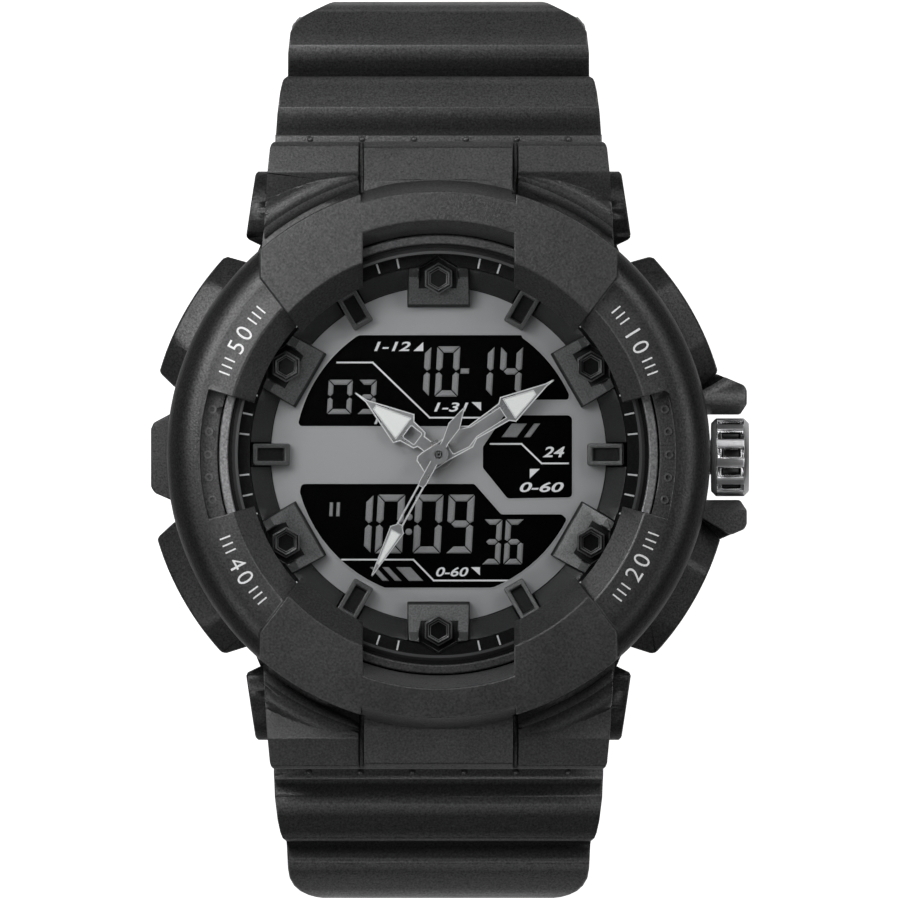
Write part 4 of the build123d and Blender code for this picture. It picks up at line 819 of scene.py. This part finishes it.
def digit(builder, char, x0, y0, x1, y1, t, slant):
    """A seven-segment figure in a box given in picture pixels; slant is the sideways lean per unit of height."""
    w, h, g = x1 - x0 - slant * (y1 - y0), y1 - y0, 0.62
    m = h / 2
    shapes = {
        "A": [(g, h), (w - g, h), (w - t - g, h - t), (t + g, h - t)],
        "D": [(g, 0), (w - g, 0), (w - t - g, t), (t + g, t)],
        "F": [(0, h - g), (t, h - t - g), (t, m + t / 2 + g), (t / 2, m + g), (0, m + g + t * 0.3)],
        "B": [(w, h - g), (w - t, h - t - g), (w - t, m + t / 2 + g), (w - t / 2, m + g), (w, m + g + t * 0.3)],
        "E": [(0, g), (t, t + g), (t, m - t / 2 - g), (t / 2, m - g), (0, m - g - t * 0.3)],
        "C": [(w, g), (w - t, t + g), (w - t, m - t / 2 - g), (w - t / 2, m - g), (w, m - g - t * 0.3)],
        "G": [(t / 2 + g, m), (t + g, m + t / 2), (w - t - g, m + t / 2), (w - t / 2 - g, m), (w - t - g, m - t / 2),
              (t + g, m - t / 2)],
    }
    for s in SEGMENTS[char]:
        pts = [P(x0 + x + slant * y, y1 - y) for x, y in shapes[s]]
        builder.roof(pts, Z0, Z_LCD + 0.09, 0.13)


SL = 0.055
for ch, x0, x1 in (("1", 413.0, 431.5), ("0", 434.5, 460.5), ("1", 475.5, 494.8), ("4", 498.5, 523.5)):
    digit(bars, ch, x0, 346, x1, 396.5, 6.4, SL)
bars.roof(PS([(460.8, 368.2), (469.4, 368.2), (469.0, 373.6), (460.3, 373.6)]), Z0, Z_LCD + 0.09, 0.1)
for ch, x0, x1 in (("0", 326.5, 352.8), ("3", 356.5, 376.8)):
    digit(bars, ch, x0, 379.5, x1, 414, 5.2, SL)
for ch, x0, x1 in (("1", 344, 373.5), ("0", 374.5, 405.2), ("0", 412.5, 443.6), ("9", 445.5, 475.0)):
    digit(bars, ch, x0, 494.6, x1, 553.6, 7.0, SL)
for ch, x0, x1 in (("3", 481.5, 502.6), ("6", 503.5, 524.8)):
    digit(bars, ch, x0, 519.4, x1, 564.7, 5.6, SL)
for cx, cy in ((409.2, 517.2), (408.6, 532.0)):
    cxm, cym = P(cx, cy)
    r = 3.4 / K
    bars.roof([(cxm + r * math.cos(i * math.pi / 8), cym + r * math.sin(i * math.pi / 8)) for i in range(16)], Z0,
              Z_LCD + 0.09, 0.12)
# small indicator
bars.roof(PS([(329.5, 502.5), (333.0, 502.5), (332.4, 516.5), (328.8, 516.5)]), Z0, Z_LCD + 0.06, 0.06)
bars.roof(PS([(336.5, 502.5), (340.0, 502.5), (339.4, 516.5), (335.8, 516.5)]), Z0, Z_LCD + 0.06, 0.06)
bars.done("display_segments", M["segment"], "case", angle=20)

# ticks on the chapter ring
ticks = Builder()
for a in range(0, 360, 6):
    if a % 60 in (0, 6, 54, 30):
        continue
    rot = Matrix.Rotation(math.radians(-a), 4, "Z")
    ticks.roof([(-0.085, 17.0), (0.085, 17.0), (0.085, 17.9), (-0.085, 17.9)], 11.29, 11.34, 0.02, rot)
ticks.done("chapter_ticks", M["tick"], "case")

# plain minute numbers and ticks on the bezel, filled with pale paint
numbers = Builder()
slope = Matrix.Rotation(-math.atan2(0.12, 2.22), 4, "X")
for label, centre, outward in (("10", 60.0, True), ("20", 119.5, False), ("40", 239.5, False), ("50", 300.0, True)):
    R = 20.45
    for i, ch in enumerate(label):
        step = 4.0 * (i - 0.5)
        a = centre + step if outward else centre - step
        me = text_mesh(ch, offset=-0.004)
        x0, x1, y0, y1, z0, z1 = extent(me)
        s = 1.5 / (y1 - y0)
        turn = Matrix.Rotation(math.radians(-a), 4, "Z")
        face = Matrix.Identity(4) if outward else Matrix.Rotation(math.pi, 4, "Z")
        sc = Matrix.Diagonal((s * MM, s * MM, 0.035 / (z1 - z0) * MM, 1.0))
        t = turn @ Matrix.Translation((0, R * MM, 15.824 * MM)) @ slope @ face @ sc @ Matrix.Translation(
            (-(x0 + x1) / 2, -(y0 + y1) / 2, -z0))
        numbers.mesh(me, t)
        bpy.data.meshes.remove(me)
    for d in (5.6, 7.4, 9.2):
        for s in (-1, 1):
            rot = Matrix.Rotation(math.radians(-(centre + s * d)), 4, "Z") @ Matrix.Translation(
                (0, R * MM, 15.824 * MM)) @ slope
            numbers.prism([(-0.07, -0.5), (0.07, -0.5), (0.07, 0.5), (-0.07, 0.5)], 0.0, 0.03, rot)
numbers.done("bezel_numbers", M["paint"], "case")

# ------------------------------------------------------------------ hands
HANDS = {
    # angle, top, line width, open outlines, closed outlines, holes; as distance from the axis and half width
    "hour": (306.5, 10.0, 0.11, [[(1.2, 0.58), (1.92, 0.58), (2.1, 0.91), (3.48, 1.09), (3.87, 1.625), (8.04, 0.13), (9.2, 0.07)]],
             [], [[(2.32, 0.5), (2.4, 0.58), (3.4, 0.6), (3.48, 0.52)], [(3.97, 1.07), (7.05, 0.18)]]),
    "minute": (57.1, 10.6, 0.11, [],
               [[(-1.96, 0.6), (-1.7, 0.9), (-1.2, 0.98), (0.54, 0.955), (2.95, 1.14), (3.66, 0.71), (6.96, 0.92),
                 (7.41, 1.32), (11.5, 0.14), (12.2, 0.08)]],
               [[(1.16, 0.6), (1.24, 0.67), (2.68, 0.85), (3.75, 0.45), (6.83, 0.49)], [(7.59, 0.94), (10.18, 0.18)]]),
    "second": (208.8, 11.12, 0.08, [[(0.85, 0.357), (2.99, 0.357), (3.05, 0.31), (7.27, 0.31), (7.68, 0.70), (12.3, 0.08)],
                              [(-0.85, 0.33), (-1.34, 0.32), (-2.9, 0.57), (-4.65, 0.09)]],
               [], [[(3.3, 0.14), (7.1, 0.14)], [(7.95, 0.40), (11.16, 0.06)]]),
}


def hand_loop(pts, angle, grow):
    """A hand's outline from its axis points, moved outwards by grow and turned to the hand's angle."""
    loop = [(w, v) for v, w in pts] + [(-w, v) for v, w in reversed(pts)]
    if area(loop) < 0:
        # the mirrored half goes first, so that the open end stays between the last point and the first
        loop = [(-w, v) for v, w in pts] + [(w, v) for v, w in reversed(pts)]
    loop = inset_loop(loop, -grow)
    t = math.radians(angle)
    return [(x * math.cos(t) + y * math.sin(t), y * math.cos(t) - x * math.sin(t)) for x, y in loop]


for h, (angle, top, width, opened, closed, holes) in HANDS.items():
    remodel(h + "_hand", M["hand"], weld=1e-6)
    remodel(h + "_lume", M["lume"], weld=1e-6)
    # painted highlight: near-white strips along the hands' outlines and hole edges stand for light caught by their
    # edges
    edges = Builder()
    for pts in opened:
        edges.line(hand_loop(pts, angle, -width / 2), width, top - 0.01, top + 0.02, 0.02)
    for pts in closed:
        loop = hand_loop(pts, angle, -width / 2)
        edges.line(loop + loop[:1], width, top - 0.01, top + 0.02, 0.02)
    for pts in holes:
        loop = hand_loop(pts, angle, width / 2)
        edges.line(loop + loop[:1], width * 0.8, top - 0.01, top + 0.02, 0.02)
    edges.done(h + "_edges", M["hand_edge_highlight"], h + "s")
hub = Builder()
n = 40
hub.band([(0.33 * math.cos(2 * math.pi * i / n), 0.33 * math.sin(2 * math.pi * i / n)) for i in range(n)],
         [(0.26 * math.cos(2 * math.pi * i / n), 0.26 * math.sin(2 * math.pi * i / n)) for i in range(n)], 11.1, 11.16)
hub.done("hub_ring", M["rim"], "seconds")
dot = Builder()
dot.prism([(0.1 * math.cos(2 * math.pi * i / 16), 0.1 * math.sin(2 * math.pi * i / 16)) for i in range(16)], 11.15, 11.18)
dot.done("hub_dot", M["seal"], "seconds")

# ------------------------------------------------------------------ crown, strap and back
crown = remodel("crown", M["chrome"], bevel=0.07, segments=2, skip=lambda c, length: c.x < 24.2 or length < 0.12)
paint_faces(crown, M["chrome_soft"], lambda c, n: 24.9 < c.x < 27.4 and math.hypot(c.y + 0.25, c.z - 6.2) > 3.38)
# painted light: the flute pockets are painted near black, the end face darker, the rim facing the case matt grey
paint_faces(crown, M["chrome_pit_shade"], lambda c, n: 25.2 < c.x < 27.1 and math.hypot(c.y + 0.25, c.z - 6.2) < 3.2)
paint_faces(crown, M["chrome_end_shade"], lambda c, n: c.x > 27.3 and n.x > 0.4)
paint_faces(crown, M["chrome_rim_painted_light"], lambda c, n: c.x < 24.95 and n.x < -0.3)
for s, key in (("strap_12", "strap_high"), ("strap_6", "strap_low")):
    remodel(s, M[key], bevel=0.2, segments=3,
            skip=lambda c, length: length < 0.3 or math.hypot(abs(c.y) - 22.4, c.z - 3.8) < 3.3 or abs(c.x) < 2.0)
for k in ("fixed_keeper", "free_keeper"):
    remodel(k, M["strap"], bevel=0.3, segments=3)
remodel("buckle", M["steel"], bevel=0.18, segments=3, skip=lambda c, length: length < 0.2)
remodel("tang", M["steel"], bevel=0.12, segments=2, skip=lambda c, length: length < 0.2)
use_cad("buckle_bar", M["steel"])
use_cad("spring_bars", M["steel"])
remodel("case_back", M["back_steel"], bevel=0.06, segments=2)
use_cad("case_back_screws", M["steel"])

for node, key in {
    "case_back_seal": "seal", "pusher_seals": "seal", "stem_seal": "seal", "display_connectors": "seal",
    "backlight_panel": "milky", "circuit_board": "board", "battery": "chrome", "battery_clamp": "steel",
    "module_holder": "resin_dark_and_shade", "mainplate": "steel", "train_bridge": "steel", "coil": "copper", "stator": "steel",
    "rotor": "brass", "third_wheel": "brass", "seconds_arbor": "steel", "centre_wheel": "brass",
    "minute_work_wheel": "brass", "hour_wheel": "brass", "stem": "steel", "crown_tube": "steel",
    "setting_lever": "steel", "pusher_springs": "steel", "buzzer": "brass",
}.items():
    use_cad(node, M[key])

# ------------------------------------------------------------------ stage and light
floor = Builder()
floor.prism([(-900, -900), (900, -900), (900, 900), (-900, 900)], -52.0, -50.02)
floor.done("floor", M["floor"], None)


def lamp(name, loc, target, size, power, size_y=None):
    """A soft box; places in millimetres."""
    d = bpy.data.lights.new(name, "AREA")
    d.energy = power
    d.shape = "RECTANGLE"
    d.size, d.size_y = size * MM, (size_y or size) * MM
    o = bpy.data.objects.new(name, d)
    scene.collection.objects.link(o)
    o.location = Vector(loc) * MM
    v = (Vector(target) - Vector(loc)) * MM
    o.rotation_euler = v.to_track_quat("-Z", "Y").to_euler()
    o.visible_camera = False
    return o


GAIN = 1.5
for name, loc, size, power in (
    ("upper", (-34, 36, 110), 52, 0.0148),
    ("near_left", (-35, 35, 60), 26, 0.0037),
    ("near_low", (-45, 20, 60), 26, 0.0062),
    ("near_far", (-60, 50, 60), 26, 0.0060),
    ("right", (100, 0, 90), 45, 0.0128),
    ("top_right", (71, 71, 90), 45, 0.0172),
    ("top", (0, 100, 90), 45, 0.0088),
    ("low_left", (-71, -71, 90), 45, 0.0124),
    ("low", (0, -100, 90), 45, 0.0056),
    ("low_right", (71, -71, 90), 45, 0.0045),
):
    lamp(name, loc, (0, 0, 10), size, power * GAIN)

world = bpy.data.worlds.new("world")
scene.world = world
world.use_nodes = True
world.node_tree.nodes["Background"].inputs[0].default_value = (1, 1, 1, 1)
world.node_tree.nodes["Background"].inputs[1].default_value = 0.004
